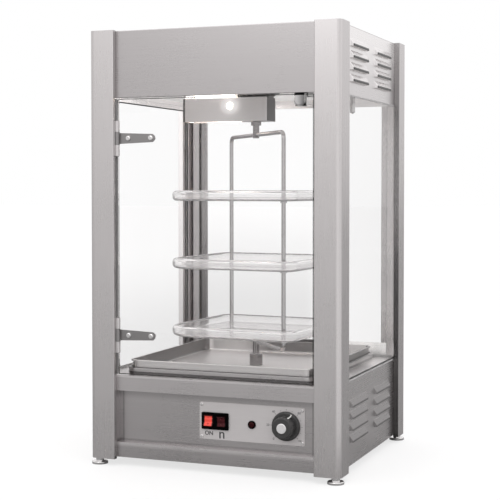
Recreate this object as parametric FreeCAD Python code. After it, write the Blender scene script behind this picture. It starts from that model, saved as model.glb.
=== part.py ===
import FreeCAD, Part
import math
import os

# Heated rotating food display case. Millimetres, +Z up, front at -Y.
# Origin: middle of the footprint on the floor.

os.makedirs("parts", exist_ok=True)
V = FreeCAD.Vector

# Case
case_w = 492.0
case_d = 444.0
post_h = 800.0
leg_w = 50.0
leg_t = 11.0
post_wall = 1.5
corner_r = 10.0
edge_r = 1.5
sheet = 1.2
fold_r = 1.0
panel_overlap = 29.0
side_end_gap = 6.0

# Feet
foot_h = 12.0
foot_in = 13.0
foot_pad_r = 15.0
foot_pad_h = 5.0
foot_round = 1.6
foot_neck_r = 7.5
stud_r = 3.7
stud_short = 0.3
thread_gap = 0.3
foot_plate_t = 3.4
foot_plate_w = 22.0
seat_gap = 0.05

# Heights of the base and hood sheets
bottom_rail_h = 28.1
recess_h = 97.0
top_rail_h = 29.0
back_rise = 29.5
hood_h = 125.0
top_drop = 1.0
ceiling_up = 17.0
hood_lip = 6.0
hood_top_lip = 15.0
web_tuck = 10.0

# Front recess and control plate
recess_d = 11.0
plate_end_gap = 23.0
plate_up = 2.0
plate_w = 204.0
plate_h = 68.0
plate_t = 1.5
plate_corner = 3.0
plate_screw_in = 4.5
screw_r = 1.5
screw_hole_gap = 0.1
screw_len = 6.5
screw_head_r = 3.0
screw_head_h = 1.8
screw_round = 1.2
screw_slot_w = 0.7
screw_slot_d = 0.7
screw_slot_len = 4.4

# Twin rocker switch
switch_in = 31.4
switch_w = 52.6
switch_h = 31.0
switch_rim_t = 3.0
switch_corner = 2.0
switch_rim_x = 3.2
switch_rim_z = 2.2
switch_hole_gap = 0.2
switch_can_d = 26.0
rocker_w = 18.0
rocker_r = 11.25
rocker_side_gap = 0.25
rocker_end_gap = 0.35
rocker_pitch = 25.4
rocker_tilt = 8.0
rocker_half_d = 6.0
rocker_dip = 1.8
rocker_face_z = 9.4
rocker_sink = 0.5
rocker_well = 12.0
trunnion_r = 1.5
trunnion_len = 1.0
trunnion_gap = 0.08

# Signal lamp
signal_off = 1.0
signal_drop = 2.0
signal_ring_r = 7.4
signal_ring_h = 2.0
signal_barrel_r = 6.0
signal_hole_gap = 0.1
signal_lens_r = 5.3
signal_lens_gap = 0.1
signal_dome = 2.5
signal_out = 4.0
signal_depth = 18.0
signal_back = 2.0

# Thermostat and knob
knob_in = 35.0
knob_r = 26.5
knob_skirt = 6.0
knob_skirt_round = 3.0
knob_depth = 26.0
knob_grip_r = 20.5
knob_tip_r = 18.5
knob_tip_round = 2.0
knob_gap = 0.5
knob_well_r = 8.0
knob_well_d = 5.0
knob_crown = 3.0
flute_count = 12
flute_r = 4.0
flute_out = 2.6
flute_end = 1.0
cap_r = 9.0
cap_t = 1.5
cap_round = 1.0
spindle_r = 3.0
spindle_in = 15.7
spindle_end_gap = 0.3
thermostat_half = 20.0
thermostat_d = 32.0
bushing_r = 5.0
bushing_out = 4.0
bushing_hole_gap = 0.2

# Louvres
louvre_len = 108.0
louvre_rise = 6.0
louvre_h = 15.5
louvre_lip = 3.0
louvre_end = 5.0
louvre_round = 2.2
louvre_pitch = 21.3
louvre_rows = 4
louvre_col = 80.0
hood_louvre_up = 24.3
base_louvre_up = 42.6

# Glass
pane_t = 4.0
seal_t = 1.5
seal_w = 12.5
seal_base = 1.5
seal_lip_out = 0.8
seal_lip_in = 3.0
seal_top_h = 2.2
seal_end_gap = 0.5
side_pane_in = 8.0
back_pane_in = 13.0
pane_lap = 8.0
retainer_w = 13.0
retainer_gap = 0.2
retainer_foot_gap = 1.0
door_t = 6.0
door_gap = 2.0
door_edge = 0.8
door_hinge_gap = 4.0
door_side_gap = 2.5

# Hinges
barrel_r = 4.5
barrel_gap = 0.6
barrel_off = 0.5
barrel_len = 65.0
hinge_pin_r = 2.2
hinge_gap = 0.1
pin_end = 1.5
knuckle_mid = 24.0
knuckle_gap = 0.3
leaf_t = 1.5
leaf_w = 8.0
leaf_in = 1.0
strap_len = 75.0
strap_h = 20.5
strap_tip_h = 15.0
strap_t = 2.0
strap_nip = 4.0
hinge_in = 75.5
strap_screw_at = (21.0, 67.0)
bolt_r = 2.4
bolt_hole_gap = 0.2
bolt_head_r = 5.0
bolt_head_h = 3.0
bolt_round = 2.0
bolt_nut_h = 3.5
bolt_end = 0.5

# Catch
catch_in = 29.5
catch_w = 25.0
strike_w = 21.0
catch_len = 32.0
catch_drop = 5.5
catch_gap = 0.3
catch_round = 1.5
strike_drop = 22.0
strike_front_t = 4.2
strike_back_t = 1.5
strike_top_t = 1.0
strike_round = 3.2

# Rack
rack_angle = -49.0
rack_x = 2.5
rack_drop = 26.5
rack_up = 47.5
rod_r = 4.0
rod_reach = 150.0
rod_bend = 12.0
tray_half = 138.0
tray_corner = 65.0
tray_rod_corner = 28.0
tray_h = 19.5
tray_wall = 3.5
tray_edge_r = 8.0
tray_rim_r = 1.2
tray_mouth_in = 9.6
tray_pitch = 130.0
tray_up = 85.0
tray_names = ("tray_bottom", "tray_middle", "tray_top")
tray_hole_gap = 0.15
collar_h = 3.5
collar_r = 6.2
press_gap = 0.05
pivot_r = 6.5
turn_gap = 0.1
bush_r = 12.8
bush_up = 23.5
bush_seat = 3.0
bush_round = 1.0
bush_groove_up = 8.0
bush_groove_w = 1.4
bush_groove_d = 0.8

# Deck and pan
kerb_side_in = 45.0
kerb_front_in = 21.0
kerb_w = 5.0
kerb_h = 13.0
kerb_round = 2.0
pan_gap = 2.5
pan_h = 26.0
pan_lip = 3.5
pan_lip_t = 2.4
pan_lip_round = 1.0
pan_corner = 18.0
pan_foot_r = 5.0

# Drive and lamp housing
box_hang = 54.0
box_h = 46.0
box_x0 = -145.0
box_x1 = 35.0
box_round = 5.0
box_half_y = 25.0
tab_half = 12.0
tab_len = 12.0
tab_lap = 2.0
window_rim = 7.0
lamp_x0 = -138.0
lamp_x1 = -28.0
lamp_up = 30.0
lamp_r = 5.5
sight_r = 7.0
sight_in = 15.0
holder_len = 14.0
holder_in = 2.0
holder_half = 9.0
holder_stem = 6.0
holder_stem_half = 5.0
motor_r = 21.0
motor_h = 25.0
shaft_r = 3.5
shaft_in = 12.0
shaft_hole_gap = 1.5
shaft_end_gap = 0.3
coupling_r = 10.0
coupling_h = 7.5
coupling_gap = 0.5
boss_r = 6.3
boss_over = 6.5

# Temperature probe
probe_in = 38.0
probe_r = 5.0
probe_len = 43.0
probe_tip = 0.5
probe_collar_r = 9.0
probe_collar_h = 4.0

# Heating element under the deck
heater_r = 4.0
heater_gap = 0.1
heater_bend = 30.0
heater_side_in = 50.0
heater_back_in = 30.0
heater_lead = 22.0

# Supply entry
gland_in = 46.0
gland_up = 44.6
gland_r = 12.0
gland_nut = 6.0
gland_dome = 12.5
gland_dome_in = 2.0
gland_dome_round = 4.0
gland_bore = 4.0
gland_stem_r = 8.0
gland_stem_out = 2.0
gland_hole_gap = 0.2

# How far a cutting body runs past the face that it cuts
past = 1.0

# Derived planes and places
z0 = foot_h
z1 = foot_h + post_h
xi = case_w / 2 - leg_t
yi = case_d / 2 - leg_t
leg_x = case_w / 2 - leg_w
inner_x = xi - sheet
inner_y = yi - sheet
base_z0 = z0 + foot_plate_t
rail_z0 = base_z0 + bottom_rail_h
rail_z1 = rail_z0 + recess_h
deck_z = rail_z1 + top_rail_h
hood_z0 = z1 - hood_h
top_z = z1 - top_drop
ceil_z = hood_z0 + ceiling_up
panel_y = -yi + recess_d
plate_y = panel_y - plate_t
panel_x = leg_x + panel_overlap
side_y = yi - side_end_gap
pane_x = xi - seal_t
pane_y = yi - seal_t
pane_z0 = deck_z + seal_base
pane_z1 = hood_z0 + pane_lap
plate_x = leg_x - plate_end_gap - plate_w / 2
plate_z = (rail_z0 + rail_z1) / 2 + plate_up
switch_x = plate_x - plate_w / 2 + switch_in
signal_x = plate_x + signal_off
signal_z = plate_z - signal_drop
knob_x = plate_x + plate_w / 2 - knob_in
knob_z = plate_z
hinge_x = -leg_x + barrel_r + barrel_gap
hinge_y = -yi - barrel_r - barrel_off
hinge_z = (deck_z + hinge_in, hood_z0 - hinge_in)
strap_screw_x = [hinge_x + at for at in strap_screw_at]
catch_x = leg_x - catch_in
kerb_half_x = xi - kerb_side_in
kerb_half_y = yi - kerb_front_in
well_half_x = kerb_half_x - kerb_w
well_half_y = kerb_half_y - kerb_w
pan_half_x = well_half_x - pan_gap
pan_half_y = well_half_y - pan_gap
box_low = ceil_z - box_hang
rack_top = box_low - rack_drop
rack_low = deck_z + rack_up
tray_rim_z = deck_z + tray_up
pan_floor_z = deck_z + sheet
bush_floor_z = pan_floor_z + bush_seat
bush_top_z = deck_z + bush_up
probe_x = xi - probe_in
gland_x = -leg_x + gland_in
gland_z = base_z0 + gland_up


def box(x0, x1, y0, y1, za, zb):
    return Part.makeBox(x1 - x0, y1 - y0, zb - za, V(x0, y0, za))


def rod(base, direction, radius, length):
    return Part.makeCylinder(radius, length, base, direction)


def along_x(xa, xb, y, z, radius):
    return rod(V(xa, y, z), V(1, 0, 0), radius, xb - xa)


def along_y(x, ya, yb, z, radius):
    return rod(V(x, ya, z), V(0, 1, 0), radius, yb - ya)


def along_z(x, y, za, zb, radius):
    return rod(V(x, y, za), V(0, 0, 1), radius, zb - za)


def prism(points, push):
    face = Part.Face(Part.makePolygon([V(*p) for p in points + points[:1]]))
    return face.extrude(V(*push))


def upright_edges(shape):
    found = []
    for edge in shape.Edges:
        a = edge.Vertexes[0].Point
        b = edge.Vertexes[-1].Point
        if abs(a.x - b.x) + abs(a.y - b.y) < 1e-6 and abs(a.z - b.z) > 1e-6:
            found.append(edge)
    return found


def edges_at_y(shape, y):
    return [e for e in shape.Edges if all(abs(v.Y - y) < 1e-6 for v in e.Vertexes)]


def edges_at_z(shape, z):
    return [e for e in shape.Edges if all(abs(v.Z - z) < 1e-6 for v in e.Vertexes)]


def joined(shapes):
    return shapes[0].multiFuse(shapes[1:]).removeSplitter()


def mirror_x(shape):
    return shape.mirror(V(0, 0, 0), V(1, 0, 0))


def mirror_y(shape):
    return shape.mirror(V(0, 0, 0), V(0, 1, 0))


def save(name, shape):
    shape.exportStep("parts/" + name + ".step")


def rounded_block(half_x, half_y, za, zb, radius):
    block = box(-half_x, half_x, -half_y, half_y, za, zb)
    return block.makeFillet(radius, upright_edges(block))


def bent_rod(points, radius, bend, closed):
    pts = [V(*p) for p in points]
    count = len(pts)
    turns = range(count) if closed else range(1, count - 1)
    enter = list(pts)
    leave = list(pts)
    pieces = []
    for i in turns:
        corner = pts[i]
        back = pts[i - 1].sub(corner).normalize()
        ahead = pts[(i + 1) % count].sub(corner).normalize()
        half = back.getAngle(ahead) / 2
        enter[i] = corner.add(V(back).multiply(bend / math.tan(half)))
        leave[i] = corner.add(V(ahead).multiply(bend / math.tan(half)))
        centre = corner.add(back.add(ahead).normalize().multiply(bend / math.sin(half)))
        axis = enter[i].sub(centre).cross(leave[i].sub(centre))
        ring = Part.Wire(Part.Edge(Part.Circle(enter[i], back, radius)))
        pieces.append(Part.Face(ring).revolve(centre, axis, math.degrees(math.pi - 2 * half)))
    spans = range(count) if closed else range(count - 1)
    for i in spans:
        run = enter[(i + 1) % count].sub(leave[i])
        pieces.append(rod(leave[i], run, radius, run.Length))
    return joined(pieces)


def l_section(inset, radius, za, zb):
    w = leg_w - inset
    t = leg_t - inset
    pts = [(inset, inset, za), (w, inset, za), (w, t, za), (t, t, za), (t, w, za), (inset, w, za)]
    shape = prism(pts, (0, 0, zb - za))
    outer = [e for e in upright_edges(shape) if e.Vertexes[0].X + e.Vertexes[0].Y < 2 * inset + 1e-3]
    return shape.makeFillet(radius, outer)


def post():
    tube = l_section(0, corner_r, z0, z1)
    ends = []
    for edge in upright_edges(tube):
        spot = edge.Vertexes[0]
        if abs(spot.X - leg_w) < 1e-3 or abs(spot.Y - leg_w) < 1e-3:
            ends.append(edge)
    tube = tube.makeFillet(edge_r, ends)
    tube = tube.cut(l_section(post_wall, corner_r - post_wall, z0, z1 - post_wall))
    lap = post_wall / 2
    pad = box(lap, foot_plate_w, lap, foot_plate_w, z0, z0 + foot_plate_t)
    near = [e for e in upright_edges(pad) if e.Vertexes[0].X + e.Vertexes[0].Y < 2 * lap + 1e-3]
    pad = pad.makeFillet(corner_r - lap, near)
    stud_hole = along_z(foot_in, foot_in, z0 - past, z0 + foot_plate_t, stud_r + thread_gap)
    shape = joined([tube, pad]).cut(stud_hole)
    shape.translate(V(-case_w / 2, -case_d / 2, 0))
    return shape


def foot():
    pad = along_z(0, 0, 0, foot_pad_h, foot_pad_r)
    pad = pad.makeFillet(foot_round, edges_at_z(pad, foot_pad_h))
    neck_top = foot_h - seat_gap
    neck = along_z(0, 0, foot_pad_h, neck_top, foot_neck_r)
    stud = along_z(0, 0, neck_top, foot_h + foot_plate_t - stud_short, stud_r)
    return joined([pad, neck, stud])


def posts_and_feet():
    left = post()
    save("post_front_left", left)
    save("post_front_right", mirror_x(left))
    save("post_rear_left", mirror_y(left))
    save("post_rear_right", mirror_x(mirror_y(left)))
    fx = case_w / 2 - foot_in
    fy = case_d / 2 - foot_in
    spots = {"foot_front_left": (-fx, -fy), "foot_front_right": (fx, -fy)}
    spots.update({"foot_rear_left": (-fx, fy), "foot_rear_right": (fx, fy)})
    for name, (x, y) in spots.items():
        piece = foot()
        piece.translate(V(x, y, 0))
        save(name, piece)


def louvre(grow, y, z, face_x):
    half = louvre_len / 2 - grow
    depth = louvre_rise + sheet - grow
    top = louvre_h - grow
    lip = louvre_lip - grow
    end = half - louvre_end
    shape = Part.makeWedge(-half, 0, 0, 0, -end, half, depth, top, lip, end)
    soft = []
    for edge in shape.Edges:
        a = edge.Vertexes[0].Point
        b = edge.Vertexes[-1].Point
        upper = max(a.z, b.z) > 1e-3
        outward = max(a.y, b.y) > 1e-3
        if upper and outward:
            soft.append(edge)
    shape = shape.makeFillet(louvre_round - grow, soft)
    shape.rotate(V(0, 0, 0), V(0, 0, 1), -90)
    shape.translate(V(face_x - sheet, y, z))
    return shape


def louvred_panel(za, zb, first_z):
    panel = box(xi - sheet, xi, -side_y, side_y, za, zb)
    shells = []
    holes = []
    for row in range(louvre_rows):
        for y in (-louvre_col, louvre_col):
            z = first_z + row * louvre_pitch
            shells.append(louvre(0, y, z, xi))
            holes.append(louvre(sheet, y, z, xi))
    return joined([panel] + shells).cut(Part.makeCompound(holes))


def side_panels():
    hood = louvred_panel(hood_z0, top_z - sheet, hood_z0 + hood_louvre_up)
    save("hood_side_right", hood)
    save("hood_side_left", mirror_x(hood))
    base = louvred_panel(base_z0, deck_z, base_z0 + base_louvre_up)
    save("base_side_right", base)
    save("base_side_left", mirror_x(base))


def hood_sheets():
    front = box(-panel_x, panel_x, -yi, -yi + sheet, hood_z0, top_z - sheet)
    low = box(-leg_x, leg_x, -yi, -yi + hood_lip, hood_z0, hood_z0 + sheet)
    high = box(-leg_x, leg_x, -yi, -yi + hood_top_lip, top_z - 2 * sheet, top_z - sheet)
    front = joined([front, low, high])
    bend = [e for e in edges_at_z(front, hood_z0) if all(abs(v.Y + yi) < 1e-3 for v in e.Vertexes)]
    bend = [e for e in bend if e.Length > leg_x]
    save("hood_front", front.makeFillet(fold_r, bend))
    save("hood_back", box(-panel_x, panel_x, yi - sheet, yi, hood_z0, top_z - sheet))
    save("hood_top", box(-xi, xi, -yi, yi, top_z - sheet, top_z))
    save("hood_ceiling", box(-inner_x, inner_x, -inner_y, inner_y, ceil_z, ceil_z + sheet))


def base_sheets():
    save("base_floor", box(-inner_x, inner_x, -inner_y, inner_y, base_z0, base_z0 + sheet))
    low = box(-panel_x, panel_x, -yi, -yi + sheet, base_z0, rail_z0)
    low_fold = box(-leg_x, leg_x, -yi, panel_y, rail_z0 - sheet, rail_z0)
    save("base_bottom_rail", joined([low, low_fold]))
    high = box(-panel_x, panel_x, -yi, -yi + sheet, rail_z1, deck_z)
    high_fold = box(-leg_x, leg_x, -yi, panel_y, rail_z1, rail_z1 + sheet)
    save("base_top_rail", joined([high, high_fold]))
    back = box(-panel_x, panel_x, yi - sheet, yi, base_z0, deck_z + back_rise)
    hole = along_y(gland_x, yi - sheet - past, yi + past, gland_z, gland_stem_r + gland_hole_gap)
    save("base_back", back.cut(hole))


def plate_screw_spots():
    dx = plate_w / 2 - plate_screw_in
    dz = plate_h / 2 - plate_screw_in
    return [(plate_x + i * dx, plate_z + j * dz) for i in (-1, 1) for j in (-1, 1)]


def control_holes():
    ya = plate_y - past
    yb = panel_y + sheet + past
    half_w = switch_w / 2 - switch_rim_x + switch_hole_gap
    half_h = switch_h / 2 - switch_rim_z + switch_hole_gap
    cut = [box(switch_x - half_w, switch_x + half_w, ya, yb, plate_z - half_h, plate_z + half_h)]
    cut.append(along_y(signal_x, ya, yb, signal_z, signal_barrel_r + signal_hole_gap))
    cut.append(along_y(knob_x, ya, yb, knob_z, bushing_r + bushing_hole_gap))
    for x, z in plate_screw_spots():
        cut.append(along_y(x, ya, yb, z, screw_r + screw_hole_gap))
    return Part.makeCompound(cut)


def front_panel():
    wide = leg_x + sheet
    web = box(-wide, wide, panel_y, panel_y + sheet, rail_z0 - web_tuck, rail_z1 + web_tuck)
    cheek = box(leg_x, wide, -yi, panel_y + sheet, rail_z0, rail_z1)
    shape = joined([web, cheek, mirror_x(cheek)])
    save("base_front_panel", shape.cut(control_holes()))


def control_plate():
    za = plate_z - plate_h / 2
    plate = box(plate_x - plate_w / 2, plate_x + plate_w / 2, plate_y, panel_y, za, za + plate_h)
    corners = [e for e in plate.Edges if abs(e.Length - plate_t) < 1e-6]
    plate = plate.makeFillet(plate_corner, corners)
    save("control_plate", plate.cut(control_holes()))
    heads = [control_screw(x, z) for x, z in plate_screw_spots()]
    save("control_screws", Part.makeCompound(heads))


def control_screw(x, z):
    front = plate_y - screw_head_h
    head = along_y(x, front, plate_y, z, screw_head_r)
    head = head.makeFillet(screw_round, edges_at_y(head, front))
    shank = along_y(x, plate_y, plate_y + screw_len, z, screw_r)
    half = screw_slot_len / 2
    low = z - screw_slot_w / 2
    slot = box(x - half, x + half, front - past, front + screw_slot_d, low, low + screw_slot_w)
    return joined([head, shank]).cut(slot)


def switches():
    half_x = switch_w / 2
    half_z = switch_h / 2
    rim = box(switch_x - half_x, switch_x + half_x, plate_y - switch_rim_t, plate_y, plate_z - half_z, plate_z + half_z)
    round_edges = [e for e in rim.Edges if abs(e.Length - switch_rim_t) < 1e-6]
    rim = rim.makeFillet(switch_corner, round_edges)
    half_w = half_x - switch_rim_x
    half_h = half_z - switch_rim_z
    can_end = plate_y + switch_can_d
    can = box(switch_x - half_w, switch_x + half_w, plate_y, can_end, plate_z - half_h, plate_z + half_h)
    body = joined([rim, can])
    axis_y = plate_y - rocker_sink
    half = rocker_w / 2 + rocker_side_gap
    tall = rocker_r + rocker_end_gap
    reach = half + trunnion_len
    for name, side in (("rocker_left", -1), ("rocker_right", 1)):
        x = switch_x + side * rocker_pitch / 2
        well_front = plate_y - switch_rim_t - past
        well = box(x - half, x + half, well_front, plate_y + rocker_well, plate_z - tall, plate_z + tall)
        seat = along_x(x - reach, x + reach, axis_y, plate_z, trunnion_r + trunnion_gap)
        body = body.cut(well).cut(seat)
        save(name, rocker(x, axis_y, side))
    save("switch_frame", body)


def rocker(x, y, side):
    face = -rocker_half_d
    outline = [(face, -rocker_face_z), (face + rocker_dip, 0.0), (face, rocker_face_z), (0.0, rocker_r)]
    outline += [(-face, rocker_face_z), (-face, -rocker_face_z), (0.0, -rocker_r)]
    pts = [(x - rocker_w / 2, y + a, plate_z + b) for a, b in outline]
    half = rocker_w / 2 + rocker_side_gap + trunnion_len - trunnion_gap
    trunnions = along_x(x - half, x + half, y, plate_z, trunnion_r)
    shape = joined([prism(pts, (rocker_w, 0, 0)), trunnions])
    shape.rotate(V(x, y, plate_z), V(1, 0, 0), side * rocker_tilt)
    return shape


def signal_lamp():
    bore_r = signal_lens_r + signal_lens_gap
    end = plate_y + signal_depth
    ring = along_y(signal_x, plate_y - signal_ring_h, plate_y, signal_z, signal_ring_r)
    barrel = along_y(signal_x, plate_y, end + signal_back, signal_z, signal_barrel_r)
    bore = along_y(signal_x, plate_y - signal_ring_h - past, end, signal_z, bore_r)
    save("signal_bezel", joined([ring, barrel]).cut(bore))
    front = plate_y - signal_out
    lens = along_y(signal_x, front, end, signal_z, signal_lens_r)
    save("signal_lens", lens.makeFillet(signal_dome, edges_at_y(lens, front)))


def thermostat():
    half = thermostat_half
    can_y = panel_y + sheet
    can = box(knob_x - half, knob_x + half, can_y, panel_y + thermostat_d, knob_z - half, knob_z + half)
    nose = plate_y - bushing_out
    bushing = along_y(knob_x, nose, can_y, knob_z, bushing_r)
    bore_end = panel_y + spindle_in + spindle_end_gap
    bore = along_y(knob_x, nose - past, bore_end, knob_z, spindle_r + turn_gap)
    save("thermostat_body", joined([can, bushing]).cut(bore))
    back = plate_y - knob_gap
    front = back - knob_depth
    save("thermostat_spindle", along_y(knob_x, front + knob_crown, panel_y + spindle_in, knob_z, spindle_r))
    save("knob", knob(front, back))
    cap_y = front - cap_t
    cap = along_y(knob_x, cap_y, front, knob_z, cap_r)
    save("knob_cap", cap.makeFillet(cap_round, edges_at_y(cap, cap_y)))


def knob(front, back):
    skirt_y = back - knob_skirt
    skirt = along_y(knob_x, skirt_y, back, knob_z, knob_r)
    skirt = skirt.makeFillet(knob_skirt_round, edges_at_y(skirt, skirt_y))
    grip = Part.makeCone(knob_grip_r, knob_tip_r, skirt_y - front, V(knob_x, skirt_y, knob_z), V(0, -1, 0))
    grip = grip.makeFillet(knob_tip_round, edges_at_y(grip, front))
    shape = joined([skirt, grip])
    flutes = []
    for k in range(flute_count):
        a = 2 * math.pi * (k + 0.5) / flute_count
        x = knob_x + (knob_grip_r + flute_out) * math.cos(a)
        z = knob_z + (knob_grip_r + flute_out) * math.sin(a)
        flutes.append(along_y(x, front - past, skirt_y - flute_end, z, flute_r))
    shape = shape.cut(Part.makeCompound(flutes))
    shape = shape.cut(along_y(knob_x, back - knob_well_d, back + past, knob_z, knob_well_r))
    return shape.cut(along_y(knob_x, front + knob_crown, back, knob_z, spindle_r))


def deck_and_pan():
    plate = box(-inner_x, inner_x, -inner_y, inner_y, deck_z - sheet, deck_z)
    kerb_z = deck_z + kerb_h
    kerb = rounded_block(kerb_half_x, kerb_half_y, deck_z - sheet, kerb_z, pan_corner + kerb_w)
    kerb = kerb.makeFillet(kerb_round, edges_at_z(kerb, kerb_z))
    well = rounded_block(well_half_x, well_half_y, deck_z, kerb_z + past, pan_corner)
    save("deck_plate", joined([plate, kerb]).cut(well))
    rim_z = deck_z + pan_h
    body = rounded_block(pan_half_x, pan_half_y, deck_z, rim_z, pan_corner)
    body = body.makeFillet(pan_foot_r, edges_at_z(body, deck_z))
    wide = pan_half_x + pan_lip
    deep = pan_half_y + pan_lip
    lip = rounded_block(wide, deep, rim_z - pan_lip_t, rim_z, pan_corner + pan_lip)
    lip = lip.makeFillet(pan_lip_round, edges_at_z(lip, rim_z))
    half_x = pan_half_x - sheet
    half_y = pan_half_y - sheet
    hollow = rounded_block(half_x, half_y, pan_floor_z, rim_z + past, pan_corner - sheet)
    hollow = hollow.makeFillet(pan_foot_r - sheet, edges_at_z(hollow, pan_floor_z))
    save("drip_pan", joined([body, lip]).cut(hollow))


def panes():
    half_y = yi - side_pane_in
    half_x = xi - back_pane_in
    right = box(pane_x - pane_t, pane_x, -half_y, half_y, pane_z0, pane_z1)
    save("glass_right", right)
    save("glass_left", mirror_x(right))
    save("glass_back", box(-half_x, half_x, pane_y - pane_t, pane_y, pane_z0, pane_z1))
    save("glazing_seals", Part.makeCompound(side_seals(half_y) + back_seals(half_x)))
    save("pane_retainers", Part.makeCompound(side_retainers(half_y) + back_retainers(half_x)))


def side_seals(half_y):
    top = hood_z0 - seal_end_gap
    inner = pane_x - pane_t
    strip = box(pane_x, xi, half_y - seal_w, half_y, pane_z0, top)
    foot_strip = box(inner - seal_t, xi, -half_y, half_y, deck_z, pane_z0)
    outside = box(pane_x, xi, -half_y, half_y, pane_z0, pane_z0 + seal_lip_out)
    inside = box(inner - seal_t, inner, -half_y, half_y, pane_z0, pane_z0 + seal_lip_in)
    under_hood = box(pane_x, xi, -half_y, half_y, top - seal_top_h, top)
    side = joined([strip, mirror_y(strip), foot_strip, outside, inside, under_hood])
    return [side, mirror_x(side)]


def back_seals(half_x):
    inner = pane_y - pane_t
    strip = box(half_x - seal_w, half_x, pane_y, yi, deck_z + back_rise, hood_z0 - seal_end_gap)
    foot_strip = box(-half_x, half_x, inner - seal_t, pane_y, deck_z, pane_z0)
    inside = box(-half_x, half_x, inner - seal_t, inner, pane_z0, pane_z0 + seal_lip_in)
    return [joined([foot_strip, inside]), strip, mirror_x(strip)]


def side_retainers(half_y):
    low = pane_z0 + seal_lip_in + retainer_foot_gap
    high = hood_z0 - retainer_foot_gap
    inner = pane_x - pane_t
    wing_y = half_y + retainer_gap
    flat = box(inner - sheet, inner, half_y - retainer_w, wing_y + sheet, low, high)
    wing = box(inner - sheet, xi, wing_y, wing_y + sheet, low, high)
    angle = joined([flat, wing])
    return [angle, mirror_x(angle), mirror_y(angle), mirror_x(mirror_y(angle))]


def back_retainers(half_x):
    low = pane_z0 + seal_lip_in + retainer_foot_gap
    high = hood_z0 - retainer_foot_gap
    wing_low = deck_z + back_rise + retainer_foot_gap
    inner = pane_y - pane_t
    wing_x = half_x + retainer_gap
    flat = box(half_x - retainer_w, wing_x + sheet, inner - sheet, inner, low, high)
    wing = box(wing_x, wing_x + sheet, inner - sheet, yi, wing_low, high)
    angle = joined([flat, wing])
    return [angle, mirror_x(angle)]


def door():
    za = deck_z + door_gap
    zb = hood_z0 - door_gap
    glass = box(-leg_x + door_hinge_gap, leg_x - door_side_gap, -yi, -yi + door_t, za, zb)
    glass = glass.makeChamfer(door_edge, upright_edges(glass))
    spots = [(x, z) for z in hinge_z for x in strap_screw_x]
    hole_r = bolt_r + bolt_hole_gap
    holes = [along_y(x, -yi - past, -yi + door_t + past, z, hole_r) for x, z in spots]
    save("door_glass", glass.cut(Part.makeCompound(holes)))
    save("hinge_straps", Part.makeCompound([strap(z) for z in hinge_z]))
    save("strap_screws", Part.makeCompound([strap_screw(x, z) for x, z in spots]))
    save("door_strike", strike(zb))


def strap(z):
    root = strap_h / 2
    tip = strap_tip_h / 2
    end = hinge_x + strap_len
    y = -yi - strap_t
    nip = end - strap_nip
    pts = [(hinge_x, y, z - root), (nip, y, z - tip), (end, y, z - tip + strap_nip)]
    pts += [(end, y, z + tip - strap_nip), (nip, y, z + tip), (hinge_x, y, z + root)]
    plate = prism(pts, (0, strap_t, 0))
    half = knuckle_mid / 2
    barrel = along_z(hinge_x, hinge_y, z - half, z + half, barrel_r)
    web = box(hinge_x, hinge_x + barrel_r, hinge_y, -yi, z - root, z + root)
    shape = joined([plate, barrel, web])
    shape = shape.cut(along_z(hinge_x, hinge_y, z - barrel_len, z + barrel_len, hinge_pin_r + hinge_gap))
    for x in strap_screw_x:
        shape = shape.cut(along_y(x, y - past, -yi + past, z, bolt_r + bolt_hole_gap))
    return shape


def strap_screw(x, z):
    face = -yi - strap_t
    front = face - bolt_head_h
    inside = -yi + door_t
    head = along_y(x, front, face, z, bolt_head_r)
    head = head.makeFillet(bolt_round, edges_at_y(head, front))
    shank = along_y(x, face, inside + bolt_nut_h + bolt_end, z, bolt_r)
    nut = along_y(x, inside, inside + bolt_nut_h, z, bolt_head_r)
    return joined([head, shank, nut])


def strike(top):
    front = -yi - strike_front_t
    back = -yi + door_t + strike_back_t
    r = strike_w / 2
    mid = top - strike_drop + r
    over = top + strike_top_t
    tongue = box(catch_x - r, catch_x + r, front, -yi, mid, over)
    tongue = joined([tongue, along_y(catch_x, front, -yi, mid, r)])
    rim = [e for e in edges_at_y(tongue, front) if e.BoundBox.ZMin < top and e.BoundBox.ZLength > 1e-3]
    tongue = tongue.makeFillet(strike_round, rim)
    bridge = box(catch_x - r, catch_x + r, -yi, back, top, over)
    rear = box(catch_x - r, catch_x + r, -yi + door_t, back, top - strike_drop, over)
    return joined([tongue, bridge, rear])


def hinges_fixed():
    brackets = []
    pins = []
    for z in hinge_z:
        low = z - barrel_len / 2
        high = z + barrel_len / 2
        half = knuckle_mid / 2 + knuckle_gap
        leaf_y = -yi - leaf_in
        leaf = box(-leg_x, -leg_x + leaf_t, leaf_y - leaf_w, leaf_y, low, high)
        outer = along_z(hinge_x, hinge_y, low, high, barrel_r)
        groove = along_z(hinge_x, hinge_y, z - half, z + half, barrel_r + hinge_gap)
        shape = joined([leaf, outer]).cut(groove)
        brackets.append(shape.cut(along_z(hinge_x, hinge_y, low - past, high + past, hinge_pin_r)))
        pins.append(along_z(hinge_x, hinge_y, low - pin_end, high + pin_end, hinge_pin_r))
    save("hinge_brackets", Part.makeCompound(brackets))
    save("hinge_pins", Part.makeCompound(pins))


def catch():
    front = -yi + door_t + strike_back_t + catch_gap
    low = hood_z0 - catch_drop
    body = box(catch_x - catch_w / 2, catch_x + catch_w / 2, front, front + catch_len, low, ceil_z)
    save("door_catch", body.makeFillet(catch_round, upright_edges(body)))


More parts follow.
